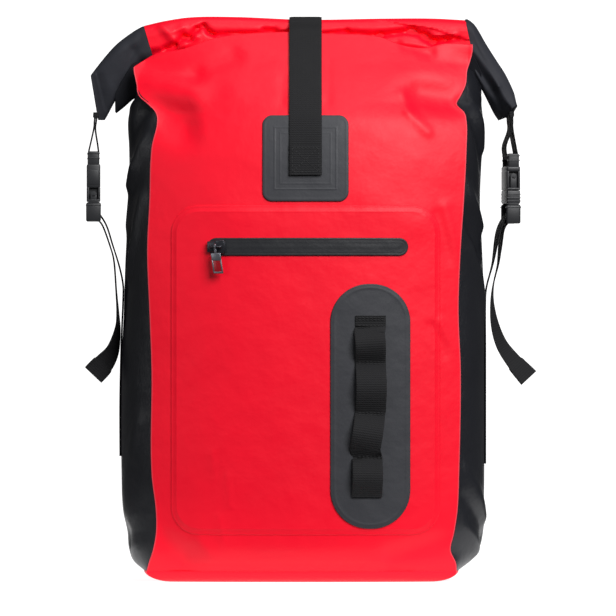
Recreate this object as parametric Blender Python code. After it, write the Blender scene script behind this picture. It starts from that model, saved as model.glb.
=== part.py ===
"""Waterproof roll-top backpack, built from its separate welded and sewn pieces.

The front faces -Y, +X is the viewer's right and the floor is z = 0, with the
origin under the middle of the bag. Lengths are in metres. The tables hold
shares of the named sizes above them.
"""
import math
from collections import namedtuple

import bmesh
import bpy
import numpy as np

MM = 0.001

# Bag body
BODY_HEIGHT = 520 * MM
SEAM_HALF = 142 * MM
BULGE_HALF = 167 * MM
FRONT_DEPTH = 92 * MM
BACK_DEPTH = 80 * MM
EDGE_DEPTH = 68 * MM
BASE_RIM = 10 * MM
FABRIC = 1.8 * MM
GAP = 0.45 * MM
CROWN = 2.4
LIP_DROP = 4 * MM

# Rolled mouth
ROLL_THICKNESS = 28 * MM
ROLL_SHEET = 2.0 * MM
ROLL_PITCH = 2.5 * MM
ROLL_TURNS = 2.0
ARM_REACH = 50 * MM
ARM_FALL = 90 * MM

# Front pocket and its zip
POCKET_HALF_WIDTH = 123.5 * MM
POCKET_HALF_HEIGHT = 151 * MM
POCKET_CENTRE_X = 1.5 * MM
POCKET_CENTRE_Z = 195 * MM
POCKET_CORNER = 26 * MM
POCKET_FABRIC = 1.1 * MM
POCKET_LIFT = 0.6 * MM
ZIP_LENGTH = 183 * MM
ZIP_WIDTH = 16.5 * MM
ZIP_TAPE = 1.2 * MM
ZIP_CENTRE_X = 3.5 * MM
ZIP_CENTRE_Z = 308 * MM
SLIDER_LENGTH = 17 * MM
SLIDER_WIDTH = 13 * MM
SLIDER_HEIGHT = 3.4 * MM
BRIDGE_BAR = 0.9 * MM
BRIDGE_RISE = 3.2 * MM
PULL_LENGTH = 27 * MM
PULL_WIDTH = 7.4 * MM
PULL_THICKNESS = 2.2 * MM
PULL_LEAN = math.radians(12)
PULL_PLAY = 0.7 * MM
EYE_WALL = 1.1 * MM
NECK_LENGTH = 5 * MM

# Centre strap and its patch
WEB_WIDE = 30 * MM
WEB = 1.5 * MM
STRAP_X = 1.4 * MM
STRAP_END_Z = 373.5 * MM
STRAP_HEM = 27 * MM
PATCH = 1.2 * MM
PATCH_HALF = 39.5 * MM
PATCH_CORNER = 9 * MM
PATCH_Z = 389 * MM

# Daisy chain and its patch
DAISY_X = 60.5 * MM
DAISY_TOP = 274 * MM
DAISY_BOTTOM = 50 * MM
DAISY_HALF_WIDTH = 36.5 * MM
CHAIN_WIDTH = 28 * MM
CHAIN_RISE = 11 * MM
CHAIN_TOP = 245 * MM
CHAIN_BOTTOM = 79 * MM

# Side straps and their buckles
WEB_SIDE = 20 * MM
TAIL_DROP = 155 * MM
BUCKLE_WIDTH = 28 * MM
BUCKLE_THICKNESS = 12.5 * MM
SOCKET_HEIGHT = 34 * MM
EYE_HEIGHT = 12 * MM
EYE_THICKNESS = 6 * MM
PLUG_HEIGHT = 12.5 * MM
BAR_RADIUS = 2.0 * MM
BUCKLE_WALL = 2.2 * MM
LATCH_CLEARANCE = 0.6 * MM
BAR_DROP = 5.85 * MM
TURN_FOOT = 60 * MM
TURN_HEAD = 20 * MM
LOOP_STANDOFF = 4.5 * MM

# Back
SHOULDER_WIDTH = 62 * MM
SHOULDER_PAD = 11 * MM
SHOULDER_BOW = 42 * MM
PAD_BEVEL = 0.1
WEB_SHOULDER = 25 * MM
BACK_PATCH_HALF_WIDTH = 78 * MM
BACK_PATCH_HALF_HEIGHT = 34 * MM
BACK_PATCH_Z = 408 * MM
LOWER_PATCH_HALF = 24 * MM
LOWER_PATCH_X = 104 * MM
LOWER_PATCH_Z = 62 * MM
HAUL_HALF = 28 * MM
HAUL_RISE = 24 * MM
HAUL_Z = 398 * MM
LADDER_WIDTH = 34 * MM
LADDER_HEIGHT = 24 * MM
LADDER_THICKNESS = 4 * MM

LEFT = -1
RIGHT = 1
FRONT = -1
BACK = 1

Section = namedtuple("Section", "height seam_left seam_right side_left side_right depth edge")
SECTIONS = (
    Section(0.019, 1.021, 0.990, 0.886, 0.856, 0.760, 0.765),
    Section(0.033, 1.007, 0.986, 0.940, 0.916, 0.837, 0.824),
    Section(0.056, 0.979, 0.950, 0.970, 0.970, 0.913, 0.912),
    Section(0.087, 0.958, 0.972, 0.979, 0.994, 0.946, 0.956),
    Section(0.125, 0.958, 0.993, 1.003, 0.997, 0.962, 0.971),
    Section(0.192, 0.986, 1.004, 1.012, 1.000, 0.978, 0.985),
    Section(0.375, 0.986, 1.014, 1.012, 1.000, 1.000, 1.000),
    Section(0.481, 1.000, 1.000, 1.000, 1.000, 1.000, 1.000),
    Section(0.587, 1.014, 1.014, 0.988, 0.988, 0.989, 0.985),
    Section(0.673, 1.000, 1.035, 0.970, 0.976, 0.973, 0.956),
    Section(0.769, 0.986, 1.053, 0.970, 0.988, 0.913, 0.882),
    Section(0.817, 0.951, 1.053, 0.976, 0.994, 0.848, 0.779),
    Section(0.846, 1.030, 0.990, 0.962, 0.982, 0.772, 0.662),
    Section(0.860, 1.070, 1.015, 0.935, 0.945, 0.730, 0.590),
    Section(0.879, 1.085, 1.049, 0.928, 0.905, 0.663, 0.500),
    Section(0.908, 1.056, 1.060, 0.907, 0.908, 0.555, 0.397),
    Section(0.923, 1.028, 1.063, 0.883, 0.913, 0.490, 0.338),
    Section(0.946, 1.028, 1.063, 0.883, 0.913, 0.385, 0.324),
    Section(0.971, 1.028, 1.063, 0.883, 0.913, 0.290, 0.309),
)

# Where the front folds in under the roll, from the left seam to the right
Crease = namedtuple("Crease", "across height")
CREASES = (
    Crease(-1.00, 0.919),
    Crease(-0.72, 0.940),
    Crease(-0.52, 0.961),
    Crease(-0.15, 0.971),
    Crease(0.17, 0.968),
    Crease(0.50, 0.961),
    Crease(0.78, 0.950),
    Crease(1.00, 0.940),
)
GUSSET_TOP = 0.898
BACK_TOP = 0.945

# The roll along the bag: its place between the seams, its top and bottom edge
Roll = namedtuple("Roll", "across top bottom")
ROLLS = (
    Roll(-1.00, 0.988, 0.923),
    Roll(-0.75, 0.993, 0.924),
    Roll(-0.45, 0.997, 0.924),
    Roll(0.00, 1.000, 0.924),
    Roll(0.50, 0.999, 0.923),
    Roll(0.80, 0.997, 0.921),
    Roll(1.00, 0.996, 0.920),
)

# The roll's ends: top and bottom edge, outwards from the seam as shares of
# ARM_REACH, down from the top of the bag as shares of ARM_FALL, and in depth
# as shares of ROLL_THICKNESS
Arm = namedtuple("Arm", "top_out top_fall top_depth low_out low_fall low_depth thickness")
ARM_LEFT = (
    Arm(0.01, 0.067, 0.00, 0.01, 0.444, 0.00, 1.00),
    Arm(0.06, 0.070, 0.00, 0.06, 0.450, 0.00, 1.00),
    Arm(0.29, 0.133, 0.00, 0.11, 0.511, 0.00, 0.96),
    Arm(0.57, 0.256, -0.04, 0.29, 0.667, 0.02, 0.84),
    Arm(0.83, 0.422, -0.08, 0.49, 0.822, 0.04, 0.70),
    Arm(1.03, 0.578, -0.10, 0.75, 1.044, 0.05, 0.60),
)
ARM_RIGHT = (
    Arm(0.01, 0.022, 0.00, 0.01, 0.461, 0.00, 1.00),
    Arm(0.05, 0.025, 0.00, 0.05, 0.465, 0.00, 1.00),
    Arm(0.16, 0.067, 0.00, 0.08, 0.522, 0.00, 0.96),
    Arm(0.34, 0.233, -0.08, 0.14, 0.656, 0.06, 0.88),
    Arm(0.52, 0.411, -0.20, 0.28, 0.778, 0.20, 0.80),
    Arm(0.68, 0.589, -0.34, 0.42, 0.889, 0.38, 0.72),
    Arm(0.86, 0.889, -0.48, 0.60, 1.040, 0.56, 0.68),
)

# The folded gusset under each end: out from the seam, fall of its lower fold
# and of its open top edge
Web = namedtuple("Web", "out fold_fall top_fall spread")
WEB_LEFT = (
    Web(0.272, 0.820, 0.690, 0.31),
    Web(0.32, 0.840, 0.735, 0.28),
    Web(0.42, 0.890, 0.815, 0.20),
    Web(0.50, 0.930, 0.875, 0.14),
)
WEB_RIGHT = (
    Web(0.08, 0.715, 0.600, 0.34),
    Web(0.14, 0.740, 0.680, 0.28),
    Web(0.20, 0.765, 0.720, 0.22),
    Web(0.26, 0.800, 0.760, 0.16),
)

# Side strap: out from the gusset to the buckle's middle, height between the
# lower anchor and the adjuster bar, and twist in quarter turns
Stop = namedtuple("Stop", "out height twist")
LOAD_LEFT = (
    Stop(0.00, 0.00, 0.0),
    Stop(0.00, 0.22, 0.0),
    Stop(0.00, 0.45, 0.0),
    Stop(0.00, 0.64, 0.0),
    Stop(0.06, 0.70, 0.0),
    Stop(0.20, 0.77, 0.0),
    Stop(0.48, 0.86, 0.0),
    Stop(0.76, 0.94, 0.0),
)
LOAD_RIGHT = (
    Stop(0.00, 0.00, 0.0),
    Stop(0.00, 0.22, 0.0),
    Stop(0.00, 0.45, 0.0),
    Stop(0.00, 0.64, 0.0),
    Stop(0.05, 0.69, 0.0),
    Stop(0.18, 0.76, 0.0),
    Stop(0.46, 0.86, 0.0),
    Stop(0.74, 0.94, 0.0),
)

# The free tail: out from the gusset and fall below the adjuster bar as a
# share of TAIL_DROP
TAIL_LEFT = (
    Stop(1.04, 0.09, 0.0),
    Stop(0.80, 0.18, 0.0),
    Stop(0.50, 0.34, 0.0),
    Stop(0.26, 0.50, 0.0),
    Stop(0.24, 0.64, 0.1),
    Stop(0.31, 0.74, 0.3),
    Stop(0.52, 0.86, 0.6),
    Stop(0.80, 0.95, 0.9),
    Stop(0.93, 1.00, 1.0),
)
TAIL_RIGHT = (
    Stop(1.06, 0.09, 0.0),
    Stop(0.84, 0.18, 0.0),
    Stop(0.54, 0.34, 0.0),
    Stop(0.32, 0.46, 0.0),
    Stop(0.33, 0.58, 0.1),
    Stop(0.54, 0.72, 0.4),
    Stop(0.95, 0.88, 0.8),
    Stop(1.42, 0.99, 1.0),
)

Side = namedtuple("Side", "sign name arm web load tail buckle_x anchor_z buckle_top turn")
SIDES = (
    Side(LEFT, "left", ARM_LEFT, WEB_LEFT, LOAD_LEFT, TAIL_LEFT,
         195 * MM, 115 * MM, 397 * MM, math.radians(2)),
    Side(RIGHT, "right", ARM_RIGHT, WEB_RIGHT, LOAD_RIGHT, TAIL_RIGHT,
         191.5 * MM, 108 * MM, 395 * MM, math.radians(10)),
)

# Shoulder strap: across from the middle, off the back, height, width, padding
Pad = namedtuple("Pad", "across off height width padding")
PADS = (
    Pad(0.37, 0.00, 0.815, 0.55, 0.35),
    Pad(0.38, 0.10, 0.795, 0.72, 0.60),
    Pad(0.41, 0.42, 0.755, 0.90, 1.00),
    Pad(0.46, 0.84, 0.690, 1.00, 1.00),
    Pad(0.52, 1.00, 0.600, 1.00, 1.00),
    Pad(0.58, 0.88, 0.510, 0.94, 1.00),
    Pad(0.64, 0.60, 0.435, 0.80, 0.90),
    Pad(0.68, 0.32, 0.385, 0.58, 0.60),
    Pad(0.68, 0.30, 0.350, 0.42, 0.35),
)


def clear_scene():
    for item in list(bpy.data.objects):
        bpy.data.objects.remove(item, do_unlink=True)


def linear(value):
    return value / 12.92 if value <= 0.04045 else ((value + 0.055) / 1.055) ** 2.4


def material(name, colour, roughness, metallic=0.0):
    made = bpy.data.materials.new(name)
    made.use_nodes = True
    shader = made.node_tree.nodes["Principled BSDF"]
    parts = [linear(int(colour[i:i + 2], 16) / 255) for i in (0, 2, 4)]
    shader.inputs["Base Color"].default_value = (*parts, 1.0)
    shader.inputs["Roughness"].default_value = roughness
    shader.inputs["Metallic"].default_value = metallic
    return made


def curve(at, places, values):
    """Cubic through the rows of a table; each row's slope is the mean of its neighbours'."""
    at = np.asarray(at, float)
    places = np.asarray(places, float)
    values = np.asarray(values, float)
    steps = np.diff(places)
    slopes = np.diff(values) / steps
    tangents = np.concatenate([slopes[:1], (slopes[:-1] + slopes[1:]) / 2, slopes[-1:]])
    at = np.clip(at, places[0], places[-1])
    i = np.clip(np.searchsorted(places, at, side="right") - 1, 0, len(steps) - 1)
    t = (at - places[i]) / steps[i]
    rise = tangents[i] * steps[i]
    fall = tangents[i + 1] * steps[i]
    return ((2 * t**3 - 3 * t**2 + 1) * values[i] + (t**3 - 2 * t**2 + t) * rise
            + (3 * t**2 - 2 * t**3) * values[i + 1] + (t**3 - t**2) * fall)


def column(table, name):
    return np.array([getattr(row, name) for row in table])


def through(points, count):
    """A smooth run of count points through the rows of an array."""
    points = np.asarray(points, float)
    rows = np.arange(len(points))
    at = np.linspace(0, len(points) - 1, count)
    return np.stack([curve(at, rows, points[:, k]) for k in range(points.shape[1])], axis=1)


def smoothstep(value):
    value = np.clip(value, 0, 1)
    return value * value * (3 - 2 * value)


def section(name, size, z):
    """One column of the body's sections, at height z."""
    return curve(np.asarray(z) / BODY_HEIGHT, column(SECTIONS, "height"), column(SECTIONS, name)) * size


def seam_x(z, side):
    return side * section("seam_left" if side == LEFT else "seam_right", SEAM_HALF, z)


def bulge_x(z, side):
    return side * section("side_left" if side == LEFT else "side_right", BULGE_HALF, z)


def face_y(across, z, face):
    """Depth of the front or back: an edge depth at the seams and a crown between them."""
    middle = section("depth", FRONT_DEPTH if face == FRONT else BACK_DEPTH, z)
    edge = section("edge", EDGE_DEPTH, z)
    return face * (edge + (middle - edge) * (1 - np.abs(across) ** CROWN))


def face_point(across, z, face):
    left = seam_x(z, LEFT)
    right = seam_x(z, RIGHT)
    x = left + (right - left) * (across + 1) / 2
    return np.stack([x, face_y(across, z, face), z + 0 * x], axis=-1)


def gusset_point(along, z, side):
    """A gusset: from its front seam at -1 to its back seam at 1, bulging out between."""
    seam = seam_x(z, side)
    x = seam + (bulge_x(z, side) - seam) * (1 - np.abs(along) ** CROWN)
    return np.stack([x, along * section("edge", EDGE_DEPTH, z), z + 0 * x], axis=-1)


def on_face(x, z, lift, face):
    """A point lifted off the front or back along the surface's own normal."""
    nudge = 0.2 * MM

    def depth(px, pz):
        left = seam_x(pz, LEFT)
        right = seam_x(pz, RIGHT)
        return face_y(np.clip(2 * (px - left) / (right - left) - 1, -1, 1), pz, face)

    slope_x = (depth(x + nudge, z) - depth(x - nudge, z)) / (2 * nudge)
    slope_z = (depth(x, z + nudge) - depth(x, z - nudge)) / (2 * nudge)
    normal = np.stack([-slope_x, np.ones_like(slope_x), -slope_z], axis=-1) * face
    normal /= np.linalg.norm(normal, axis=-1, keepdims=True)
    return np.stack([x, depth(x, z), z], axis=-1) + normal * np.asarray(lift)[..., None]


def spread(count, crowding=0.5):
    """Steps from 0 to 1, closer together at both ends."""
    t = np.linspace(0, 1, count)
    return (1 - crowding) * t + crowding * (0.5 - 0.5 * np.cos(np.pi * t))


def solid(name, vertices, faces, finish):
    mesh = bpy.data.meshes.new(name)
    mesh.from_pydata([tuple(v) for v in vertices], [], faces)
    shape = bmesh.new()
    shape.from_mesh(mesh)
    bmesh.ops.recalc_face_normals(shape, faces=shape.faces)
    shape.to_mesh(mesh)
    shape.free()
    mesh.shade_smooth()
    mesh.set_sharp_from_angle(angle=math.radians(35))
    made = bpy.data.objects.new(name, mesh)
    made.data.materials.append(finish)
    bpy.context.scene.collection.objects.link(made)
    return made


def behind(outer, thickness):
    """A grid moved along its own normals."""
    normals = np.cross(np.gradient(outer, axis=0), np.gradient(outer, axis=1))
    normals /= np.linalg.norm(normals, axis=-1, keepdims=True)
    return outer - normals * thickness


def sheet(name, outer, inner, finish):
    """A wall: its outer grid of points, its inner one and the edges between."""
    rows, columns = outer.shape[:2]
    count = rows * columns
    at = np.arange(count).reshape(rows, columns)
    quads = np.stack([at[:-1, :-1], at[1:, :-1], at[1:, 1:], at[:-1, 1:]], axis=-1).reshape(-1, 4)
    faces = quads.tolist() + (quads[:, ::-1] + count).tolist()
    rim = np.concatenate([at[0, :-1], at[:-1, -1], at[-1, :0:-1], at[:0:-1, 0]])
    following = np.roll(rim, -1)
    faces += np.stack([rim, following, following + count, rim + count], axis=-1).tolist()
    return solid(name, np.concatenate([outer.reshape(-1, 3), inner.reshape(-1, 3)]), faces, finish)


def loft(name, rings, finish):
    """A solid through closed rings, with a fan to the middle of the first and the last."""
    rings = np.asarray(rings)
    count, size = rings.shape[:2]
    at = np.arange(count * size).reshape(count, size)
    turned = np.roll(at, -1, axis=1)
    faces = np.stack([at[:-1], turned[:-1], turned[1:], at[1:]], axis=-1).reshape(-1, 4).tolist()
    first = count * size
    last = first + 1
    faces += [[first, int(b), int(a)] for a, b in zip(at[0], turned[0])]
    faces += [[last, int(a), int(b)] for a, b in zip(at[-1], turned[-1])]
    ends = np.stack([rings[0].mean(axis=0), rings[-1].mean(axis=0)])
    return solid(name, np.concatenate([rings.reshape(-1, 3), ends]), faces, finish)


def rounded(half_long, half_short, corner, bends, runs, columns):
    """A grid over a rounded rectangle: rows across it, closer together round the corners."""
    angles = np.linspace(0, np.pi / 2, bends + 1)
    end = half_long - corner + corner * np.sin(angles)
    half = half_short - corner + corner * np.cos(angles)
    straight = np.linspace(-(half_long - corner), half_long - corner, runs + 1)[1:-1]
    along = np.concatenate([-end[::-1], straight, end])
    width = np.concatenate([half[::-1], np.full(len(straight), half_short), half])
    return np.repeat(along[:, None], columns, axis=1), width[:, None] * np.linspace(-1, 1, columns)[None, :]


def laid(name, x, z, lift, thickness, face, finish):
    """A piece that follows the front or back over a grid of places."""
    over = on_face(x, z, np.full(x.shape, lift + thickness), face)
    under = on_face(x, z, np.full(x.shape, lift), face)
    sheet(name, over, under, finish)


def sideways(x, z, face):
    """The direction across a face, level and along its surface."""
    reach = 2 * MM
    flat = np.zeros_like(x)
    return (on_face(x + reach, z, flat, face) - on_face(x - reach, z, flat, face)) / (2 * reach)


def ribbon(path, across, width, thickness):
    """Rings of four corners along a path, as wide as the webbing along its across direction."""
    ahead = np.gradient(path, axis=0)
    ahead /= np.linalg.norm(ahead, axis=1, keepdims=True)
    across = np.broadcast_to(across, path.shape)
    across = across - ahead * np.sum(across * ahead, axis=1, keepdims=True)
    across = across / np.linalg.norm(across, axis=1, keepdims=True)
    up = np.cross(ahead, across)
    half = np.broadcast_to(width, len(path))[:, None] / 2
    thick = np.broadcast_to(thickness, len(path))[:, None] / 2
    return np.stack([path + across * half + up * thick, path - across * half + up * thick,
                     path - across * half - up * thick, path + across * half - up * thick], axis=1)


def block(size, centre):
    """A box as a bare object, used by fused()."""
    corners = [[(i >> k & 1) - 0.5 for k in range(3)] for i in range(8)]
    points = np.array(corners) * size + centre
    faces = [[0, 2, 3, 1], [4, 5, 7, 6], [0, 1, 5, 4], [2, 6, 7, 3], [0, 4, 6, 2], [1, 3, 7, 5]]
    return solid("block", points, faces, NYLON)


def rod(radius, length, axis, centre, sides=10):
    """A round bar along X or Y as a bare object, used by fused()."""
    angles = 2 * np.pi * np.arange(sides) / sides
    circle = radius * np.stack([np.cos(angles), np.sin(angles)], axis=1)
    rings = []
    for end in (-0.5, 0.5):
        ring = np.zeros((sides, 3))
        ring[:, axis] = end * length
        ring[:, (axis + 1) % 3] = circle[:, 0]
        ring[:, (axis + 2) % 3] = circle[:, 1]
        rings.append(ring + centre)
    return loft("rod", rings, NYLON)


def fused(name, pieces, cuts, finish):
    """The first piece with the others joined to it and the cuts taken out."""
    target = pieces[0]
    for tool, operation in [(p, "UNION") for p in pieces[1:]] + [(c, "DIFFERENCE") for c in cuts]:
        step = target.modifiers.new("step", "BOOLEAN")
        step.operation = operation
        step.solver = "EXACT"
        step.object = tool
        scene_now = bpy.context.evaluated_depsgraph_get()
        mesh = bpy.data.meshes.new_from_object(target.evaluated_get(scene_now))
        target.modifiers.clear()
        target.data = mesh
        bpy.data.objects.remove(tool, do_unlink=True)
    target.name = name
    target.data.name = name
    target.data.materials.clear()
    target.data.materials.append(finish)
    return target


def turned(made, side):
    """Turns a piece about its buckle's upright axis: fully at the buckle, and not at all well below."""
    middle_x = side.sign * side.buckle_x
    foot = bar_z(side) - TURN_FOOT
    head = bar_z(side) - TURN_HEAD
    count = len(made.data.vertices)
    points = np.empty(count * 3)
    made.data.vertices.foreach_get("co", points)
    points = points.reshape(-1, 3)
    turn = side.turn * smoothstep((points[:, 2] - foot) / (head - foot))
    x = points[:, 0] - middle_x
    y = points[:, 1].copy()
    points[:, 0] = middle_x + x * np.cos(turn) - y * np.sin(turn)
    points[:, 1] = x * np.sin(turn) + y * np.cos(turn)
    made.data.vertices.foreach_set("co", points.ravel())
    made.data.update()


# Body: two faces, two gussets and the base tray, each its own welded panel


def make_face(name, face, columns, rows):
    across = np.linspace(-1, 1, columns)[None, :]
    if face == FRONT:
        top = curve(across, column(CREASES, "across"), column(CREASES, "height")) * BODY_HEIGHT
    else:
        top = np.full_like(across, BACK_TOP * BODY_HEIGHT)
    low = BASE_RIM + GAP
    z = low + (top - low) * spread(rows)[:, None]
    grid = face_point(np.broadcast_to(across, z.shape), z, face)
    crease = grid[-1]
    inwards = face * (ROLL_THICKNESS / 2 + GAP) - crease[:, 1]
    fold = crease + np.stack([0 * inwards, 0.4 * inwards, 0 * inwards + 0.3 * LIP_DROP], axis=-1)
    lip = crease + np.stack([0 * inwards, inwards, 0 * inwards - LIP_DROP], axis=-1)
    grid = np.concatenate([grid, fold[None], lip[None]])
    sheet(name, grid, behind(grid, FABRIC * face), RED)


def make_gusset(name, side):
    along = np.linspace(-1, 1, 9)[None, :]
    low = BASE_RIM + GAP
    z = low + (GUSSET_TOP * BODY_HEIGHT - low) * spread(18)[:, None]
    edge = section("edge", EDGE_DEPTH, z)
    slope = (section("edge", EDGE_DEPTH, z + MM) - section("edge", EDGE_DEPTH, z - MM)) / (2 * MM)
    inset = (FABRIC + 2 * GAP) * np.hypot(1, slope)
    grid = gusset_point(np.broadcast_to(along, (18, 9)) * (1 - inset / edge), z, side)
    sheet(name, grid, behind(grid, FABRIC * -side), BLACK)


def make_base():
    """A tray: flat in the middle, and curling up a quarter round to the panels' lower edges."""
    steps = np.array([0, 0.45, 0.82, 0.89, 0.95, 0.98, 1.0])
    steps = np.concatenate([-steps[:0:-1], steps])
    u, v = np.meshgrid(steps, steps)
    low = BASE_RIM
    faces = np.where(v < 0, face_point(u, low + 0 * u, FRONT)[..., 1], face_point(u, low + 0 * u, BACK)[..., 1])
    right = gusset_point(v, low + 0 * u, RIGHT)[..., 0]
    left = gusset_point(v, low + 0 * u, LEFT)[..., 0]
    x = (left + right) / 2 + u * (right - left) / 2
    y = np.abs(v) * faces
    curl = np.clip((np.maximum(np.abs(u), np.abs(v)) - 0.82) / 0.18, 0, 1)
    z = BASE_RIM * (1 - np.sqrt(1 - curl**2))
    outer = np.stack([x, y, z], axis=-1)
    outward = np.stack([np.sign(u) * np.abs(u) ** 8, np.sign(v) * np.abs(v) ** 8], axis=-1)
    outward /= np.maximum(np.linalg.norm(outward, axis=-1, keepdims=True), 1e-6)
    inner = outer + FABRIC * np.sqrt(1 - curl**2)[..., None] * np.array([0, 0, 1.0])
    inner[..., :2] -= FABRIC * curl[..., None] * outward
    sheet("base_panel", outer, inner, RED)


# Roll: a doubled sheet wound in a flattened spiral, and its two drooping ends


def spiral(radius, half_height, inset=0.0):
    """The wound sheet in its own plane: half circles of a shrinking radius, and straights between."""
    straight = half_height - radius
    depth = [radius - inset]
    rise = [-straight]
    halves = 2 * ROLL_TURNS
    for half in range(math.ceil(halves)):
        upper = 1 if half % 2 == 0 else -1
        for step in np.linspace(0, min(1, halves - half), 6):
            shrunk = radius - ROLL_PITCH * (half + step) / 2 - inset
            angle = math.pi * (half + step)
            depth.append(shrunk * math.cos(angle))
            rise.append(shrunk * math.sin(angle) + straight * upper)
    return np.array(depth), np.array(rise)


def make_roll():
    at = np.linspace(-1, 1, 8)
    low = curve(at, column(ROLLS, "across"), column(ROLLS, "bottom")) * BODY_HEIGHT
    high = curve(at, column(ROLLS, "across"), column(ROLLS, "top")) * BODY_HEIGHT
    end_z = ROLLS[0].bottom * BODY_HEIGHT
    left = seam_x(end_z, LEFT) + GAP
    right = seam_x(end_z, RIGHT) - GAP
    layers = []
    for inset in (0.0, ROLL_SHEET):
        rows = []
        for share, bottom, top in zip(at, low, high):
            depth, rise = spiral(ROLL_THICKNESS / 2, (top - bottom) / 2, inset)
            x = np.full(len(depth), left + (right - left) * (share + 1) / 2)
            rows.append(np.stack([x, depth, (top + bottom) / 2 + rise], axis=1))
        layers.append(np.array(rows))
    sheet("top_roll", layers[0], layers[1], RED)


def arm_edges(side):
    """Top and bottom edge of a roll end, station by station."""
    start = seam_x(ROLLS[0].bottom * BODY_HEIGHT, side.sign)
    table = side.arm
    top = np.stack([start + side.sign * column(table, "top_out") * ARM_REACH,
                    column(table, "top_depth") * ROLL_THICKNESS,
                    BODY_HEIGHT - column(table, "top_fall") * ARM_FALL], axis=1)
    low = np.stack([start + side.sign * column(table, "low_out") * ARM_REACH,
                    column(table, "low_depth") * ROLL_THICKNESS,
                    BODY_HEIGHT - column(table, "low_fall") * ARM_FALL], axis=1)
    return top, low, column(table, "thickness") * ROLL_THICKNESS


def make_arm(side):
    """The roll's own winding carried on down a bent path, its sections kept near upright."""
    top, low, thickness = arm_edges(side)
    middle = (top + low) / 2
    upright = top - low
    height = np.linalg.norm(upright, axis=1)
    upright /= height[:, None]
    ahead = np.gradient(middle, axis=0) * side.sign
    outwards = np.cross(upright, ahead)
    outwards /= np.linalg.norm(outwards, axis=1, keepdims=True)
    layers = []
    for inset in (0.0, ROLL_SHEET):
        rows = []
        for k in range(len(middle)):
            depth, rise = spiral(thickness[k] / 2, height[k] / 2, inset)
            rows.append(middle[k] + depth[:, None] * outwards[k] + rise[:, None] * upright[k])
        layers.append(np.array(rows))
    sheet("roll_end_" + side.name, layers[0], layers[1], BLACK)


def make_web(side):
    """The gusset folded double under the roll's end: a V whose fold is its lower edge."""
    start = seam_x(ROLLS[0].bottom * BODY_HEIGHT, side.sign)
    turns = np.linspace(-1, 1, 7)
    table = through(np.array(side.web), 6)
    rows = []
    for out, fold, top, opening in table:
        depth = turns * opening * ROLL_THICKNESS
        fall = fold + (top - fold) * np.abs(turns) ** 1.4
        x = np.full(len(turns), start + side.sign * out * ARM_REACH)
        rows.append(np.stack([x, depth, BODY_HEIGHT - fall * ARM_FALL], axis=1))
    grid = np.array(rows)
    sheet("side_fold_" + side.name, grid, behind(grid, FABRIC * side.sign), BLACK)


# Front: pocket, zip, patches, centre strap and daisy chain


def pocket_top():
    return POCKET_LIFT + POCKET_FABRIC


def make_pocket():
    z, x = rounded(POCKET_HALF_HEIGHT, POCKET_HALF_WIDTH, POCKET_CORNER, 2, 6, 12)
    laid("front_pocket", POCKET_CENTRE_X + x, POCKET_CENTRE_Z + z, POCKET_LIFT, POCKET_FABRIC, FRONT, RED)


def make_zip():
    x, z = rounded(ZIP_LENGTH / 2, ZIP_WIDTH / 2, ZIP_WIDTH * 0.44, 3, 9, 3)
    laid("zip_tape", ZIP_CENTRE_X + x, ZIP_CENTRE_Z + z, pocket_top() + GAP, ZIP_TAPE, FRONT, COATED)


def slider_seat():
    """Where the slider lies on the tape, and how far it is turned to follow the bag's crown."""
    x = np.array([ZIP_CENTRE_X - ZIP_LENGTH / 2 + SLIDER_LENGTH / 2])
    z = np.array([ZIP_CENTRE_Z])
    seat = on_face(x, z, np.array([pocket_top() + 2 * GAP + ZIP_TAPE]), FRONT)[0]
    level = sideways(x, z, FRONT)[0]
    return seat, math.atan2(level[1], level[0])


def bridge_axis():
    """The middle of the bar that the pull swings on."""
    seat, turn = slider_seat()
    rise = SLIDER_HEIGHT + BRIDGE_RISE
    return seat + rise * np.array([math.sin(turn), -math.cos(turn), 0])


def make_slider():
    body = block((SLIDER_LENGTH, SLIDER_HEIGHT, SLIDER_WIDTH * 0.78), (0, -SLIDER_HEIGHT / 2, 0))
    nose = block((SLIDER_LENGTH * 0.5, SLIDER_HEIGHT * 0.98, SLIDER_WIDTH),
                 (SLIDER_LENGTH * 0.2, -SLIDER_HEIGHT * 0.49, 0))
    span = SLIDER_LENGTH * 0.66
    top = -SLIDER_HEIGHT - BRIDGE_RISE
    bar = rod(BRIDGE_BAR, span, 0, np.array([0, top, 0]))
    posts = [block((2 * BRIDGE_BAR, BRIDGE_RISE + BRIDGE_BAR, 2 * BRIDGE_BAR * 0.96),
                   (sign * (span / 2 - BRIDGE_BAR), top + BRIDGE_RISE / 2 + 0.3 * BRIDGE_BAR, 0))
             for sign in (-1, 1)]
    made = fused("zip_slider", [body, nose, bar] + posts, [], METAL)
    seat, turn = slider_seat()
    made.location = seat
    made.rotation_euler[2] = turn


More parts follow.
